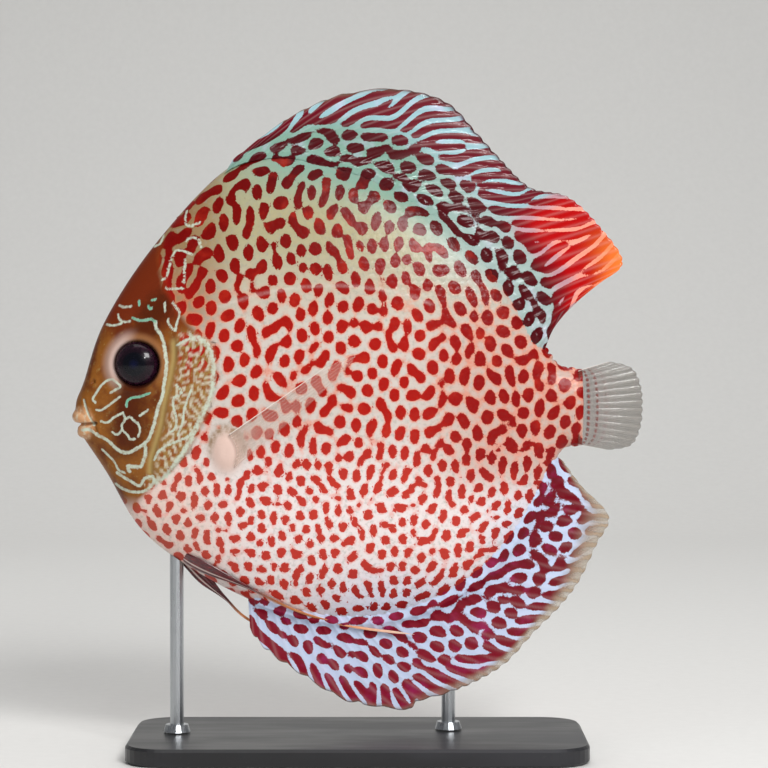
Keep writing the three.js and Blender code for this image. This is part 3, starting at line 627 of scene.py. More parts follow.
# Fish skin under a film of water. Pigment gives the red marks with a soft warm fringe, guanine the pale
# ground between them, and the wet film small sharp highlights.
def wet_skin(name, scaled):
    material, tree, surface = new_material(name)
    fine, mottle, patches = grain(tree, 0.55, 2), grain(tree, 0.9, 3), grain(tree, 6, 3)
    edge = uneven(tree, "marks", fine, 0.5)
    if scaled:
        # On a scale the marks are stronger near its free rear edge, most of all on the low flank
        free = maths(tree, "SUBTRACT", "free", 0.1)
        edge = maths(tree, "MULTIPLY_ADD", free, maths(tree, "MULTIPLY_ADD", "low", 0.6, 0.1), edge)
    in_mark = ramped(tree, edge, -0.1, 0.15)
    fringe = ramped(tree, uneven(tree, "marks", fine, 0.8), -0.75, 0.0)
    warm = product(tree, ramped(tree, "upper", 0.9, 0.1), ramped(tree, "blue", 0.8, 0.0), 0.6)
    halo = blended(tree, "#d9704c", [("#e29488", "low")])
    green = blended(tree, "#789a8b", [("#98aba6", "greyer")])
    mark = blended(tree, "#a0140c", [
        ("#b8352a", "low"), ("#860c0b", "rear_flank"), ("#700603", "upper"), ("#7c1018", "blue"),
        ("#62040a", "upper", "rear_flank"), ("#46050a", "turquoise"), ("#b0483a", "breast"),
        ("#c0301c", ramped(tree, patches, 0.5, 0.75, 0, 0.4)),
    ])
    # Face: olive brown, darker in the bar through the eye
    cells = ramped(tree, grain(tree, 1.3, 2), 0.42, 0.6)
    bar = uneven(tree, "bar", mottle, 0.6)
    olive = blended(tree, "#84501e", [
        ("#5e2a10", ramped(tree, patches, 0.42, 0.66)), ("#98804a", ramped(tree, mottle, 0.55, 0.8, 0, 0.6)),
        ("#6a260c", "forehead"), ("#93703f", "lid"), ("#87481f", "lid", cells, 0.85),
        ("#9c1c10", "lid", "lid_top", in_mark), ("#4a1c06", ramped(tree, bar, 0.1, 1.0, 0, 0.9)),
        ("#a38c56", "groove", 0.85), ("#cac5b0", "net", ramped(tree, mottle, 0.3, 0.6, 0.4, 0.8)),
        # The near-black ring round the eye, #230c0a, is painted shade in the crease where the skin meets the
        # eyeball
        ("#96653f", "orbit_tan"), ("#c0a69c", "orbit"), ("#230c0a", "orbit_painted_shade"), ("#c8946a", "lips"),
        ("#cdb99c", "lips", ramped(tree, mottle, 0.45, 0.7)),
    ])
    pale_lines = ramped(tree, uneven(tree, "line", fine, 0.9), 0.3, 0.75)
    colour = blended(tree, "#c4bab2", [
        ("#e2d6d4", "low"), ("#bea398", "rear_flank"), ("#a29a78", "upper"),
        ("#aebdb8", "upper", "rear_flank"), ("#c8cbe0", "blue"), ("#8e6c48", "nape"), (green, "turquoise"),
        ("#dec6bc", "breast"),
        ("#8f8f86", ramped(tree, mottle, 0.48, 0.75, 0, 0.45)), (halo, fringe, warm), (mark, in_mark),
        (olive, "face"), ("#bcc6b4", pale_lines, ramped(tree, mottle, 0.25, 0.6, 0.5, 0.95)),
        ("#5fa88c", ramped(tree, "line_bright", 0.3, 0.8, 0, 0.9)), ("#d9d3cf", "lateral", 0.22),
        ("#d4b6a9", "pad"), ("#8a6f52", "pad_rim", ramped(tree, mottle, 0.3, 0.6, 0.4, 1)),
    ])
    dents = {"Height": grain(tree, 0.35, 2), "Strength": 0.35, "Distance": DENT_DEPTH}
    dented = add(tree, "ShaderNodeBump", dents).outputs["Normal"]
    feed(surface, {
        "Base Color": colour, "Roughness": ramped(tree, mottle, 0.2, 0.8, 0.3, 0.46), "IOR": 1.36,
        "Specular IOR Level": 0.12, "Coat Weight": 0.3, "Coat Roughness": 0.07, "Coat IOR": 1.34,
        "Normal": dented, "Coat Normal": dented,
    })
    return material


# Fin membrane between bony rays: pigment in the membrane, bare clear margins that light comes through
def fin_membrane(name):
    material, tree, surface = new_material(name)
    patches = grain(tree, 5, 3)
    in_mark = ramped(tree, uneven(tree, "marks", grain(tree, 0.5, 2), 0.9), -0.12, 0.15)
    mark = blended(tree, "#46050c", [
        ("#620a1a", ramped(tree, "out", 0.3, 0.65)), ("#7c0e22", "low"), ("#6a0818", "blue"),
        ("#7c0410", ramped(tree, "lobe", 0.0, 0.4)), ("#ad0406", ramped(tree, "lobe", 0.35, 0.85)),
        ("#8e1f4c", "low", ramped(tree, patches, 0.5, 0.75)),
    ])
    colour = blended(tree, "#789a8b", [
        ("#98aba6", "greyer"), ("#8fb2b9", ramped(tree, "out", 0.3, 0.7)), ("#bac6df", "low"),
        ("#c9bede", ramped(tree, patches, 0.5, 0.8, 0, 0.5)), ("#b58a92", ramped(tree, "lobe", 0.1, 0.45)),
        ("#ee9480", ramped(tree, "lobe", 0.6, 1.0)), (mark, in_mark), ("#ee7a30", "orange"),
        ("#3a0710", "margin"), ("#a08c72", "clear"), ("#e9d6d2", "ray", 0.1),
    ])
    firm = maths(tree, "MULTIPLY_ADD", in_mark, 0.3, "ray")
    see = product(tree, "clear", ramped(tree, firm, 0, 1, 0.75, 0.2))
    dents = {"Height": grain(tree, 0.4, 2), "Strength": 0.15, "Distance": DENT_DEPTH}
    feed(surface, {
        "Base Color": colour, "Alpha": maths(tree, "SUBTRACT", 1.0, see),
        "Roughness": ramped(tree, patches, 0.2, 0.8, 0.28, 0.42), "IOR": 1.36, "Specular IOR Level": 0.12,
        "Coat Weight": 0.35, "Coat Roughness": 0.06, "Coat IOR": 1.34,
        "Normal": add(tree, "ShaderNodeBump", dents).outputs["Normal"],
    })
    return material


# Clear membrane of the tail and pectoral fins, tinted, with paler rays and rows of small red dots
def clear_membrane(name, tint, ray_colour, dots_colour, opacity, cloudy):
    material, tree, surface = new_material(name)
    cloud = grain(tree, 2.2, 3)
    colour = blended(tree, tint, [
        ("#d7cfc6", ramped(tree, cloud, 0.5, 0.8, 0, cloudy)), (ray_colour, "ray"), (dots_colour, "dots"),
        ("#f0e6dd", "lead"),
    ])
    solid = ramped(tree, "out", 0.02, 0.3, 0.3, opacity)
    for other in (product(tree, "ray", 0.28), "dots", product(tree, "lead", 0.95)):
        solid = maths(tree, "MAXIMUM", solid, other)
    feed(surface, {
        "Base Color": colour, "Alpha": solid, "Roughness": ramped(tree, cloud, 0.2, 0.8, 0.2, 0.36),
        "IOR": 1.4, "Coat Weight": 0.5, "Coat Roughness": 0.08,
    })
    return material


# Pelvic fin: stiff folded rays, maroon in the fold and orange along the filament
def pelvic_membrane(name):
    material, tree, surface = new_material(name)
    fine = grain(tree, 0.8, 2, stretch=(0.35, 1, 1))
    colour = blended(tree, "#4a0812", [
        ("#7b1a22", ramped(tree, fine, 0.45, 0.7)), ("#d9c4bc", ramped(tree, "fold", 0.55, 0.9)),
        ("#d9894e", ramped(tree, "out", 0.4, 0.62)), ("#e8c9b4", ramped(tree, "out", 0.75, 1)),
    ])
    feed(surface, {
        "Base Color": colour, "Roughness": ramped(tree, fine, 0.2, 0.8, 0.25, 0.42), "Coat Weight": 0.5,
        "Coat Roughness": 0.08,
    })
    return material


# Eye: a nearly black iris with plum flecks round a deep blue pupil, under a clear wet coat, whose sharp
# highlights stand on the ball
def wet_eye(name):
    material, tree, surface = new_material(name)
    fleck = grain(tree, 0.7, 3)
    colour = blended(tree, "#03040c", [
        ("#060a26", ramped(tree, "radial", 0.3, 0.0)), ("#140610", ramped(tree, "radial", 0.45, 0.6)),
        ("#2c1020", ramped(tree, "radial", 0.6, 0.85), ramped(tree, fleck, 0.4, 0.65)),
        ("#3a2024", ramped(tree, "radial", 0.93, 1.0, 0, 0.8)),
    ])
    feed(surface, {
        "Base Color": colour, "Roughness": ramped(tree, fleck, 0.2, 0.8, 0.2, 0.35),
        "Specular IOR Level": 0.1, "Coat Weight": 0.55, "Coat Roughness": 0.01, "Coat IOR": 1.376,
    })
    return material


# Stand base: black lacquered board, hand rubbed to satin, with a few fine dust specks
def satin_lacquer(name):
    material, tree, surface = new_material(name)
    rubbed = grain(tree, 9, 4, stretch=(0.25, 1, 1))
    specks = grain(tree, 0.7, 1)
    colour = blended(tree, "#1b1b1d", [
        ("#26262a", ramped(tree, rubbed, 0.4, 0.7)), ("#3a3a3d", ramped(tree, specks, 0.74, 0.8, 0, 0.5)),
    ])
    dents = {"Height": rubbed, "Strength": 0.1, "Distance": DENT_DEPTH}
    feed(surface, {
        "Base Color": colour, "Roughness": ramped(tree, rubbed, 0.3, 0.7, 0.3, 0.44), "IOR": 1.5,
        "Normal": add(tree, "ShaderNodeBump", dents).outputs["Normal"],
    })
    return material


# Stand rods: drawn stainless steel, brushed lengthwise, so reflections stretch across the rod
def brushed_steel(name):
    material, tree, surface = new_material(name)
    strokes = grain(tree, 0.5, 3, stretch=(1, 1, 0.05))
    feed(surface, {
        "Base Color": blended(tree, "#a9adb1", [("#c9cccf", strokes)]), "Metallic": 1.0,
        "Roughness": ramped(tree, strokes, 0.3, 0.7, 0.24, 0.4),
    })
    return material


# Backdrop: matt paper, whose fibres give a faint unevenness
def matt_paper(name):
    material, tree, surface = new_material(name)
    colour = blended(tree, "#d3d2cf", [("#dad9d6", grain(tree, 3, 3))])
    feed(surface, {"Base Color": colour, "Roughness": 0.8})
    return material


def make_piece(
    name, points, quads, triangles, corner_uv, attributes, material, replaces=(), smooth_shaded=True,
):
    """A mesh in metres from points in millimetres, with its unwrap, point values and finish."""
    mesh = bpy.data.meshes.new(name)
    quads, triangles = np.asarray(quads, int).reshape(-1, 4), np.asarray(triangles, int).reshape(-1, 3)
    mesh.vertices.add(len(points))
    mesh.vertices.foreach_set("co", (np.asarray(points) * MM).astype(np.float32).ravel())
    loops = np.concatenate([quads.ravel(), triangles.ravel()])
    starts = np.concatenate([4 * np.arange(len(quads)), 4 * len(quads) + 3 * np.arange(len(triangles))])
    mesh.loops.add(len(loops))
    mesh.loops.foreach_set("vertex_index", loops.astype(np.int32))
    mesh.polygons.add(len(starts))
    mesh.polygons.foreach_set("loop_start", starts.astype(np.int32))
    mesh.update(calc_edges=True)
    layer = mesh.uv_layers.new(name="OFBake")
    layer.data.foreach_set("uv", np.asarray(corner_uv, np.float32).ravel())
    for key, values in attributes.items():
        made = mesh.attributes.new(key, "FLOAT", "POINT")
        made.data.foreach_set("value", np.asarray(values, np.float32))
    mesh.polygons.foreach_set("use_smooth", np.full(len(starts), smooth_shaded))
    mesh.materials.append(material)
    piece = bpy.data.objects.new(name, mesh)
    bpy.context.scene.collection.objects.link(piece)
    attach(piece, "root")
    if replaces:
        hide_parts(*replaces)
    return piece


def tube_faces(rings, sides):
    """Quads between closed rings, fans to two end points numbered last, and their places on the unwrap."""
    i, j = np.meshgrid(np.arange(rings - 1), np.arange(sides), indexing="ij")
    places = np.stack([[i, j], [i + 1, j], [i + 1, j + 1], [i, j + 1]]).reshape(4, 2, -1).transpose(2, 0, 1)
    quads = places[..., 0] * sides + places[..., 1] % sides
    j = np.arange(sides)
    following, last, count = (j + 1) % sides, (rings - 1) * sides, rings * sides
    start = np.stack([np.full(sides, count), j, following], -1)
    end = np.stack([last + j, np.full(sides, count + 1), last + following], -1)
    corners = [places.reshape(-1, 2)]
    for fan in ([(-1, 0.5), (0, 0), (0, 1)], [(rings - 1, 0), (rings, 0.5), (rings - 1, 1)]):
        corners.append((np.array(fan) + np.stack([0 * j, j], -1)[:, None]).reshape(-1, 2))
    return quads, np.concatenate([start, end]), (np.concatenate(corners) + [1, 0]) / [rings + 1, sides]


# Skin: one loft from the snout to the tail, with its rings closest together on the head
def ring_places():
    x = np.unique(curve_through(BACK)(np.linspace(0, 1, 4001))[:, 0])
    slope = np.maximum(np.abs(np.gradient(back_at(x), x)), np.abs(np.gradient(belly_at(x), x)))
    density = 1 + HEAD_CROWDING * smooth(HEAD_RINGS_UP_TO + 2, HEAD_RINGS_UP_TO - 1, x)
    length = np.concatenate([[0], np.cumsum(np.diff(x) * (np.hypot(1, slope) * density)[1:])])
    even = np.linspace(0, 1, SKIN_RINGS + 1)[1:]
    return np.interp(even * length[-1], length, x)


def spaced(t):
    """Height of the sides from -1 to 1, closest together at the back and the belly."""
    return 0.3 * t + 0.7 * np.sin(np.pi * t / 2)


def side_shares():
    """Height from -1 to 1 and side of the body, once round from the belly up the left flank."""
    half = SKIN_SIDES // 2
    height = spaced(np.linspace(-1, 1, half + 1))
    return np.concatenate([height[:-1], height[:0:-1]]), np.repeat([-1.0, 1.0], half)


def lip_line(lip):
    x, y, z = lip["corner"]
    front = lip["front"]
    bend = [lerp(x, front[0], 0.72), 0.72 * y, lerp(z, front[2], 0.8)]
    points = [[x, -y, z], [bend[0], -bend[1], bend[2]], front, bend, [x, y, z]]
    t = np.linspace(0, 1, 61)
    return curve_through(points)(t), lip["thick"] * lerp(LIP_TAPER, 1, np.sin(np.pi * t))


def face_relief(x, z):
    """How far the skin stands out from the plain flank."""
    rise = np.zeros(x.shape)
    near = (x < -20) & (z > 52) & (z < 100)
    a, b = x[near], z[near]
    edge = curve_through(GILL_REAR)(np.linspace(0, 1, 120))[::-1]
    behind = a - np.interp(b, edge[:, 1], edge[:, 0])
    ends = smooth(58.9, 64, b) * smooth(93.5, 90, b)
    inside = GILL_RISE * smooth(-9, -0.5, behind)
    gap = GILL_GAP * smooth(0.1, 0.4, behind) * smooth(3.5, 0.6, behind)
    rise[near] += ends * np.where(behind < 0, inside, GILL_RISE * smooth(0.35, 0.0, behind) - gap)
    to_fold = distance_to(a, b, JAW_FOLD, 4)
    to_eye = np.hypot(a - EYE["x"], b - EYE["z"])
    to_nose = np.hypot(a - NOSTRIL["x"], b - NOSTRIL["z"])
    to_cheek, to_jaw, to_chin = [distance_to(a, b, FACE_LINES[name], 3) for name in ("cheek", "jaw", "chin")]
    # Rise of each ridge or groove, the distance from its middle and its width
    for height, distance, width in (
        (-0.42, distance_to(a, b, CHEEK_GROOVE, 4), 0.6), (0.16, to_cheek, 1.1), (0.22, to_fold - 0.5, 0.45),
        (-0.25, to_fold, 0.3), (-0.14, to_jaw, 0.6), (-0.14, to_chin, 0.6), (0.55, to_eye - 5.9, 0.95),
        (0.22, to_nose - 0.75, 0.3), (-0.7, to_nose, 0.42),
    ):
        rise[near] += height * bell(distance, width)
    rise[near] += 1.1 * smooth(1.25, 0.2, from_pad(a, b)) - 2.6 * smooth(5.1, 3.9, to_eye)
    return rise


def make_skin(material):
    rings = ring_places()
    height, side = side_shares()
    middle, half = (back_at(rings) + belly_at(rings)) / 2, (back_at(rings) - belly_at(rings)) / 2
    x = np.repeat(rings[:, None], SKIN_SIDES, 1)
    z = middle[:, None] + half[:, None] * height[None]
    y = side[None] * thickness_at(rings)[:, None] * flank_share(height)[None]
    grid = np.stack([x, y, z], -1)
    down = np.gradient(grid, axis=0)
    around = np.roll(grid, -1, 1) - np.roll(grid, 1, 1)
    out = np.cross(np.gradient(grid, axis=0), around)
    out /= np.maximum(np.linalg.norm(out, axis=-1, keepdims=True), 1e-9)
    out *= np.sign(np.sum(out[..., 1] * y))
    grid = grid + out * (face_relief(x, z) * smooth(0, 0.25, flank_share(height))[None])[..., None]

    # The lips: the skin is pushed out until it lies on them, then eased, then drawn in along the gape
    front = np.argmax(rings > -53)
    mouth = grid[:front]
    for lip in (UPPER_LIP, LOWER_LIP):
        line, thick = lip_line(lip)
        for _ in range(8):
            gap = np.linalg.norm(mouth[:, :, None] - line[None, None], axis=-1) - thick
            mouth = mouth + out[:front] * np.maximum(0, -gap.min(-1))[..., None]
    for _ in range(3):
        around = np.roll(mouth, 1, 1) + np.roll(mouth, -1, 1)
        mouth[1:-1] = 0.5 * mouth[1:-1] + 0.125 * (around[1:-1] + mouth[2:] + mouth[:-2])
    gape = bell(distance_to(mouth[..., 0], mouth[..., 2], GAPE_LINE, 4), 0.33)
    depth = GAPE_DEPTH * gape * smooth(-56.6, -57.8, mouth[..., 0])
    grid[:front] = mouth - out[:front] * depth[..., None]

    snout = [SNOUT_X - 0.05, 0, BACK[0][1]]
    end = [TAIL_X + 0.4, 0, (BACK[-1][1] + BELLY[-1][1]) / 2]
    points = np.concatenate([grid.reshape(-1, 3), [snout, end]])
    quads, triangles, corner_uv = tube_faces(SKIN_RINGS, SKIN_SIDES)
    attributes = looks_at(points[:, 0], points[:, 2])
    nodes_of_flesh = ("head", "torso", "tail_base", "gill_cover_left", "gill_cover_right")
    return make_piece(
        "skin", points, quads, triangles, corner_uv, attributes, material, nodes_of_flesh,
    )


def skin_uv(x, z, side):
    """Where a place on the flank lies on the skin's unwrap."""
    u = (1 + np.interp(x, ring_places(), np.arange(SKIN_RINGS))) / (SKIN_RINGS + 1)
    t = np.linspace(-1, 1, SKIN_SIDES // 2 + 1)
    v = (np.interp(height_share(x, z), spaced(t), t) + 1) / 4
    return np.stack([u, v if side < 0 else 1 - v], -1)


# Scales: overlapping closed lenses, sunk in front and free at the rear
def make_scales(name, side, material):
    pitch_x, pitch_z = SCALE_PITCH
    columns = np.arange(-50, TAIL_X - 1, pitch_x)
    rows = np.arange(26, 134, pitch_z)
    x, z = np.meshgrid(columns, rows, indexing="ij")
    x = x + pitch_x / 2 * (np.arange(len(rows)) % 2)[None]
    rng = np.random.default_rng(SCALE_SEEDS[side])
    x = (x + rng.uniform(-0.1, 0.1, x.shape)).ravel()
    z = (z + rng.uniform(-0.08, 0.08, z.shape)).ravel()
    height = np.abs(height_share(x, z))
    kept = (height < 0.972) & (x > read_off(SCALES_FROM, z) + 0.5) & (x < TAIL_X - 0.6)
    kept = kept & (from_pad(x, z, wider=0.3, taller=0.3) > 1)
    x, z = x[kept], z[kept]
    size = rng.uniform(0.94, 1.06, len(x)) * (0.75 + 0.25 * smooth(0.97, 0.85, height[kept]))
    turns = 2 * np.pi * np.arange(SCALE_RIM) / SCALE_RIM
    rim_x, rim_z = SCALE_REACH[0] * np.cos(turns), SCALE_REACH[1] * np.sin(turns)
    rim_height = lerp(RIM_SUNK, RIM_RAISED, (np.cos(turns) + 1) / 2)
    # Place along and across, and height above the skin
    template = np.concatenate([
        np.stack([rim_x, rim_z, rim_height], -1),
        np.stack([rim_x / 2, rim_z / 2, rim_height / 2 + RING_RAISED], -1),
        [[0, 0, MIDDLE_RAISED], [0, 0, UNDERSIDE]],
    ])
    px = x[:, None] + template[None, :, 0] * size[:, None]
    pz = z[:, None] + template[None, :, 1] * size[:, None]
    step = 0.15
    slope_x = np.clip((flank(px + step, pz) - flank(px - step, pz)) / (2 * step), -2.5, 2.5)
    slope_z = np.clip((flank(px, pz + step) - flank(px, pz - step)) / (2 * step), -2.5, 2.5)
    out = np.stack([-slope_x, np.ones(px.shape), -slope_z], -1)
    out /= np.linalg.norm(out, axis=-1, keepdims=True)
    points = np.stack([px, flank(px, pz), pz], -1) + out * template[None, :, 2, None]
    points = (points * [1, side, 1]).reshape(-1, 3)
    rim = np.arange(SCALE_RIM)
    after = (rim + 1) % SCALE_RIM
    middle, underside = np.full(SCALE_RIM, 2 * SCALE_RIM), np.full(SCALE_RIM, 2 * SCALE_RIM + 1)
    faces = np.concatenate([
        np.stack(corners, -1) for corners in (
            [rim, after, after + SCALE_RIM], [rim, after + SCALE_RIM, rim + SCALE_RIM],
            [rim + SCALE_RIM, after + SCALE_RIM, middle], [after, rim, underside],
        )
    ])
    if side > 0:
        faces = faces[:, ::-1]
    triangles = (faces[None] + len(template) * np.arange(len(x))[:, None, None]).reshape(-1, 3)
    patch = template[:, :2] / SCALE_REACH * SCALE_PATCH
    place_uv = (skin_uv(x, z, side)[:, None] + patch[None]).reshape(-1, 2)
    attributes = looks_at(points[:, 0], points[:, 2])
    # How near a corner is to the free rear edge, from 1 at its middle to below 0 in front
    free = np.cos(turns) - 1.2 * np.abs(np.sin(turns))
    attributes["free"] = np.tile(np.concatenate([free, free / 2 + 0.15, [0.3, 0]]), len(x))
    return make_piece(
        name, points, [], triangles, place_uv[triangles.ravel()], attributes, material,
        smooth_shaded=False,
    )


def fin_piece(name, left, right, attributes, material, node):
    """A closed sheet: two grids of points joined round their edges, one half of the unwrap to each."""
    columns, rows = left.shape[0], left.shape[1]
    number = np.arange(columns * rows).reshape(columns, rows)
    one = np.stack([number[:-1, :-1], number[1:, :-1], number[1:, 1:], number[:-1, 1:]], -1).reshape(-1, 4)
    rim = np.concatenate([number[:-1, 0], number[-1, :-1], number[:0:-1, -1], number[0, :0:-1]])
    after = np.roll(rim, -1)
    edge = np.stack([rim, rim + columns * rows, after + columns * rows, after], -1)
    quads = np.concatenate([one, one[:, ::-1] + columns * rows, edge])
    u, v = np.meshgrid(np.linspace(0.02, 0.98, columns), np.linspace(0.01, 0.48, rows), indexing="ij")
    place_uv = np.concatenate([np.stack([u, v], -1), np.stack([u, 1 - v], -1)]).reshape(-1, 2)
    points = np.concatenate([left.reshape(-1, 3), right.reshape(-1, 3)])
    a, b, c = points[one[:, 0]], points[one[:, 1]], points[one[:, 3]]
    if np.cross(b - a, c - a).sum(0) @ (left - right).reshape(-1, 3).sum(0) < 0:
        quads = quads[:, ::-1]
    for key, value in attributes.items():
        attributes[key] = np.tile(np.broadcast_to(value, number.shape).ravel(), 2)
    return make_piece(name, points, quads, [], place_uv[quads.ravel()], attributes, material, [node])


def lines_between(root_points, tip_points, sunk):
    """Root and tip of a fin at each step of u, with the root sunk into the body."""
    root_of, tip_of = curve_through(root_points), curve_through(tip_points)

    def lines(u):
        root, tip = root_of(u), tip_of(u)
        inwards = (root - tip) / np.linalg.norm(root - tip, axis=-1, keepdims=True)
        return root + inwards * sunk, tip

    return lines


def vane(rays, columns_per_ray, rows, lines, half, middle, spines=0, ridge=RAY_RIDGE, sweep=((0, 0), (1, 0))):
    """Both faces of a rayed fin, with the share along it, the share out and the nearness to a ray."""
    columns = rays * columns_per_ray
    u, v = np.meshgrid(np.linspace(0, 1, columns + 1), np.linspace(0, 1, rows + 1), indexing="ij")
    root, tip = lines(u[:, 0])
    from_ray = np.abs((swept(u, v, sweep) * rays) % 1 - 0.5) * 2
    on_ray = bell(from_ray, 0.3)
    inset = np.where(u * rays < spines, SPINE_SCALLOP, SCALLOP) * from_ray[:, -1:] ** 1.5
    length = np.linalg.norm(tip - root, axis=-1)[:, None]
    place = root[:, None] + (tip - root)[:, None] * (v * (1 - inset / length))[..., None]
    x, z = place[..., 0], place[..., 1]
    thick = (half(u, v) + ridge * on_ray * (1 - 0.6 * v)) * np.where(v > 0.985, 0.5, 1)
    y = middle(x, u, v)
    return np.stack([x, y - thick, z], -1), np.stack([x, y + thick, z], -1), u, v, on_ray


def make_edge_fin(name, lines, rays, spines, sway, sweep, material, node):
    left, right, u, v, on_ray = vane(
        rays, COLUMNS_PER_RAY, FIN_ROWS, lambda u: lines(u)[1:],
        lambda u, v: lerp(FIN_TIP_HALF, FIN_ROOT_HALF, (1 - v) ** FIN_TAPER) * smooth(0, 0.02, v + 0.02),
        lambda x, u, v: sway * v * v * np.sin(1.6 * np.pi * u), spines, RAY_RIDGE, sweep,
    )
    edge, root, tip = lines(u[:, 0])
    length = np.linalg.norm(tip - root, axis=-1)[:, None]
    sunk = np.linalg.norm(edge - root, axis=-1)[:, None] / length
    fillet = FILLET * np.exp(-np.maximum(0, v - sunk) * length / FILLET_FADE)
    fillet = fillet * smooth(0, 0.06, u) * smooth(1, 0.94, u)
    left[..., 1] -= fillet
    right[..., 1] += fillet
    x, z = left[..., 0], left[..., 2]
    out = np.clip((v - sunk) / (1 - sunk), 0, 1)
    if node == "dorsal_fin":
        attributes = {
            "lobe": smooth(LOBE_FROM, LOBE_FULL, u) * smooth(0.15, 0.7, out) * smooth(1.0, 0.93, u),
            "orange": smooth(45, 57, x) * smooth(118, 108, z) * smooth(0.6, 1.0, out) * 0.9,
            "margin": smooth(0.95, 1.0, out) * smooth(0.72, 0.6, u),
            "clear": 0.35 * smooth(0.9, 1.0, out) * smooth(0.35, 0.1, u),
            "low": 0,
            "blue": 0,
        }
    else:
        rear_margin = smooth(lerp(0.88, 0.5, smooth(0.6, 0.92, u)), 0.97, out) * smooth(0.3, 0.6, u)
        attributes = {
            "lobe": 0,
            "orange": 0,
            "margin": smooth(0.985, 1.0, out) * 0.6,
            "clear": np.maximum(rear_margin, 0.4 * smooth(0.94, 1.0, out)),
            "low": 1,
            "blue": smooth(0.45, 0.75, u),
        }
    attributes["marks"] = marks_at(x, z)
    attributes["ray"] = on_ray * smooth(0.1, 0.6, out)
    attributes["out"] = out
    attributes["greyer"] = smooth(8, 28, x)
    return fin_piece(name, left, right, attributes, material, node)


def make_caudal(material):
    left, right, u, v, on_ray = vane(
        CAUDAL_RAYS, 10, 48, lines_between(CAUDAL_ROOT, CAUDAL_TIP, CAUDAL_SUNK),
        lambda u, v: lerp(CAUDAL_TIP_HALF, CAUDAL_ROOT_HALF, (1 - v) ** CAUDAL_TAPER),
        lambda x, u, v: CAUDAL_SWAY * v * v,
    )
    dots = (np.sin(2 * np.pi * CAUDAL_DOT_ROWS * v) * 0.5 + 0.5) ** 2 * (1 - on_ray) * smooth(0.75, 0.2, v)
    lead = smooth(0.97, 1, np.abs(2 * u - 1))
    attributes = {"ray": on_ray * 0.8, "out": v, "dots": dots * 0.9, "lead": lead}
    return fin_piece("tail_fin", left, right, attributes, material, "caudal_fin")


def make_pectoral(name, side, material, node):
    left, right, u, v, on_ray = vane(
        PECTORAL_RAYS, 8, 48, lines_between(PECTORAL_ROOT, PECTORAL_TIP, PECTORAL_SUNK),
        lambda u, v: 0.12 + 0.2 * (1 - v), lambda x, u, v: 0 * x, ridge=0.12,
    )
    stand_off = flank(left[..., 0], left[..., 2]) + STAND_OFF + lerp(*PECTORAL_LIFT, v * v)
    for face in (left, right):
        face[..., 1] = (face[..., 1] - stand_off) * -side
    attributes = {"ray": on_ray, "out": v, "dots": 0, "lead": smooth(0.07, 0.0, u)}
    return fin_piece(name, left, right, attributes, material, node)


def make_pelvic(name, path_points, side, material, node):
    path = curve_through(path_points)
    u, v = np.meshgrid(np.linspace(0, 1, 21), np.linspace(0, 1, 161), indexing="ij")
    point = path(v)
    along = path(np.minimum(v + 0.01, 1)) - path(np.maximum(v - 0.01, 0))
    along /= np.linalg.norm(along, axis=-1, keepdims=True)
    fold = np.clip(v / FILAMENT_FROM, 0, 1)
    width = lerp(2, PELVIC_WIDTH, np.sin(np.pi * fold * 0.8))
    width = lerp(width, FILAMENT_WIDTH, smooth(0.25, 1, fold)) * smooth(1.02, 0.9, v)
    x = point[..., 0] + along[..., 1] * width * (u - 0.5)
    z = point[..., 1] - along[..., 0] * width * (u - 0.5)
    across = np.sqrt(np.maximum(0.02, 1 - (2 * u - 1) ** 4))
    thick = (PELVIC_HALF * across + 0.1 * bell(u * 4 % 1 - 0.5, 0.2)) * lerp(1, 0.62, smooth(0.5, 1, v))
    sunk = 1.4 * (1 - smooth(0, 0.1, v))
    out = np.maximum(flank(x, z), FIN_ROOT_HALF + RAY_RIDGE) + STAND_OFF + PELVIC_HALF - sunk
    left = np.stack([x, side * (out + thick), z], -1)
    right = np.stack([x, side * (out - thick), z], -1)
    attributes = {"out": v, "fold": np.clip(1 - np.abs(u - 0.72) / 0.2, 0, 1)}
    return fin_piece(name, left, right, attributes, material, node)


def make_eye(name, side, material, node, around=96, up=40):
    """A flattened ball, turned a little forwards and sunk into its socket."""
    radius = EYE["radius"] - 0.1
    angle = np.linspace(0, np.pi, up + 1)
    turn = 2 * np.pi * np.arange(around) / around
    r, h = radius * np.sin(angle), EYE["bulge"] * np.cos(angle)
    disc = (r[1:-1, None, None] * np.stack([np.cos(turn), np.sin(turn)], -1)).reshape(-1, 2)
    x, z = np.concatenate([disc, [[0, 0], [0, 0]]]).T
    y = np.concatenate([np.repeat(h[1:-1], around), [h[0], h[-1]]])
    tilt = math.radians(EYE["turn"])
    out = flank(np.array(EYE["x"]), np.array(EYE["z"])) - EYE["sunk"]
    turned_y = out + x * math.sin(tilt) + y * math.cos(tilt)
    points = np.stack([EYE["x"] + x * math.cos(tilt) - y * math.sin(tilt), side * turned_y, EYE["z"] + z], -1)
    quads, triangles, _ = tube_faces(up - 1, around)
    if side > 0:
        quads, triangles = quads[:, [0, 3, 2, 1]], triangles[:, ::-1]
    facing = np.concatenate([np.repeat(np.cos(angle)[1:-1] > 0, around), [True, False]])
    place_uv = np.stack([x, z], -1) / radius * 0.23 + np.where(facing, 0.25, 0.75)[:, None]
    loops = np.concatenate([quads.ravel(), triangles.ravel()])
    attributes = {"radial": np.where(facing, np.hypot(x, z) / radius, 1.0)}
    return make_piece(name, points, quads, triangles, place_uv[loops], attributes, material, [node])


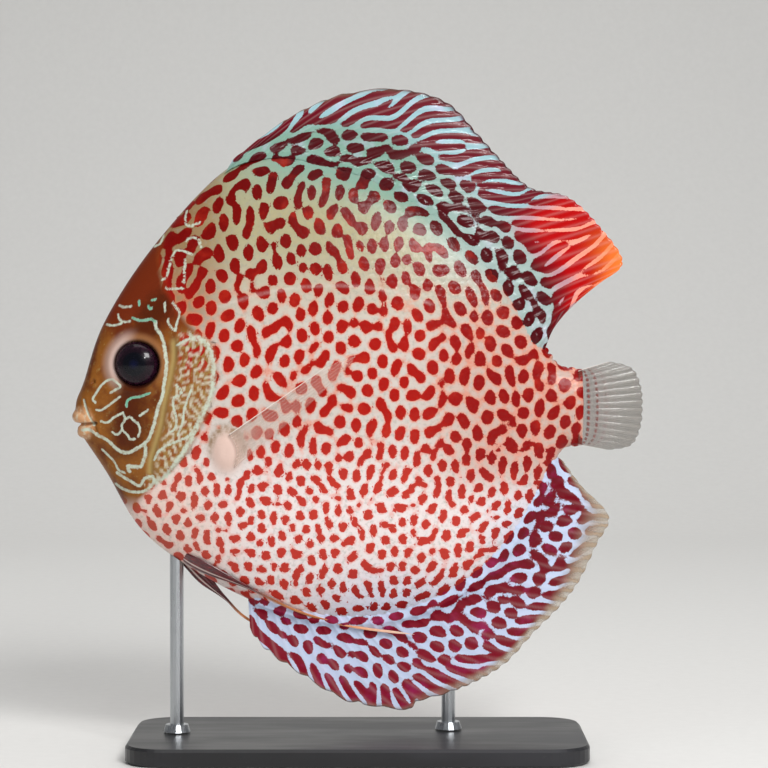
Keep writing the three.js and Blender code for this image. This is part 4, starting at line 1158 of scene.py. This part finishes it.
skin_material = wet_skin("wet_skin", scaled=False)
scale_material = wet_skin("wet_scales", scaled=True)
fin_material = fin_membrane("spotted_fin_membrane")
tail_material = clear_membrane("tail_fin_membrane", "#5e564a", "#7d7468", "#7c2620", 0.42, 0.12)
pectoral_material = clear_membrane("pectoral_membrane", "#cdb09f", "#e2d2c6", "#b0332e", 0.1, 0.1)
pelvic_material = pelvic_membrane("pelvic_fin_membrane")
eye_material = wet_eye("wet_eye")

make_skin(skin_material)
for side, name in ((-1, "left"), (1, "right")):
    make_scales(f"scales_{name}", side, scale_material)
    make_eye(f"eyeball_{name}", side, eye_material, f"eye_{name}")
    make_pectoral(f"pectoral_{name}", side, pectoral_material, f"pectoral_fin_{name}")
make_edge_fin(
    "dorsal", dorsal_lines, DORSAL_RAYS, DORSAL_SPINES, DORSAL_SWAY, DORSAL_SWEEP, fin_material, "dorsal_fin",
)
make_edge_fin("anal", anal_lines, ANAL_RAYS, ANAL_SPINES, ANAL_SWAY, ANAL_SWEEP, fin_material, "anal_fin")
make_caudal(tail_material)
make_pelvic("pelvic_left", PELVIC_LEFT, -1, pelvic_material, "pelvic_fin_left")
make_pelvic("pelvic_right", PELVIC_RIGHT, 1, pelvic_material, "pelvic_fin_right")

base_material = satin_lacquer("satin_lacquer")
rod_material = brushed_steel("brushed_steel")
for name, material in (
    ("stand_base", base_material), ("stand_rod_front", rod_material), ("stand_rod_rear", rod_material),
):
    nodes[name].data.materials.clear()
    nodes[name].data.materials.append(material)

# Stage: a pale floor that curves up into a backdrop
FLOOR_NEAR, FLOOR_FAR, STAGE_HALF, STAGE_HEIGHT, STAGE_CURVE = -1.5, 0.55, 2.0, 1.8, 0.35


def make_stage():
    bend = np.linspace(0, np.pi / 2, 25)
    line = [(FLOOR_NEAR, 0.0)]
    line += [(FLOOR_FAR + STAGE_CURVE * math.sin(a), STAGE_CURVE * (1 - math.cos(a))) for a in bend]
    line.append((FLOOR_FAR + STAGE_CURVE, STAGE_HEIGHT))
    points = [(x, y, z) for y, z in line for x in (-STAGE_HALF, STAGE_HALF)]
    faces = [(2 * i, 2 * i + 1, 2 * i + 3, 2 * i + 2) for i in range(len(line) - 1)]
    mesh = bpy.data.meshes.new("stage")
    mesh.from_pydata(points, [], faces)
    mesh.polygons.foreach_set("use_smooth", np.ones(len(faces), bool))
    mesh.materials.append(matt_paper("matt_paper"))
    floor = bpy.data.objects.new("stage", mesh)
    bpy.context.scene.collection.objects.link(floor)


make_stage()


def area_light(name, place, aim, size, power, mirrored=True):
    light = bpy.data.lights.new(name, "AREA")
    light.shape = "RECTANGLE"
    light.size, light.size_y = size
    light.energy = power
    lamp = bpy.data.objects.new(name, light)
    lamp.location = place
    lamp.visible_glossy = mirrored
    lamp.rotation_euler = (Vector(aim) - Vector(place)).to_track_quat("-Z", "Y").to_euler()
    bpy.context.scene.collection.objects.link(lamp)


area_light("key", (0.3, -0.6, 0.55), (0, 0, 0.08), (0.3, 0.26), 5.6)
area_light("glints", (0.16, -0.7, 0.4), (0, 0, 0.08), (0.08, 0.05), 0.7)
area_light("fill", (-0.7, -0.6, 0.3), (0, 0, 0.08), (0.6, 0.6), 1.6, mirrored=False)
area_light("top", (0, 0.1, 0.9), (0, 0, 0.05), (0.7, 0.7), 2.4)
area_light("far_side", (0, 0.8, 1.0), (0, 0, 0.05), (0.6, 0.6), 5)

world = bpy.data.worlds.new("studio")
world.use_nodes = True
world.node_tree.nodes["Background"].inputs["Color"].default_value = linear("#e8eaee")
world.node_tree.nodes["Background"].inputs["Strength"].default_value = 0.24
bpy.context.scene.world = world
bpy.context.scene.view_settings.view_transform = "Standard"

# Camera: level with the fish, square to its left flank, with the photo's framing
AIM = Vector((0.0057, 0, 0.081))
DISTANCE, RISE, LENS = 0.6, 1.5, 127.8
camera_data = bpy.data.cameras.new("camera")
camera_data.lens = LENS
camera_data.sensor_width = 36
camera_data.clip_start = 0.01
camera = bpy.data.objects.new("camera", camera_data)
tilt = math.radians(RISE)
camera.location = AIM + Vector((0, -math.cos(tilt), math.sin(tilt))) * DISTANCE
camera.rotation_euler = (AIM - camera.location).to_track_quat("-Z", "Y").to_euler()
bpy.context.scene.collection.objects.link(camera)
bpy.context.scene.camera = camera
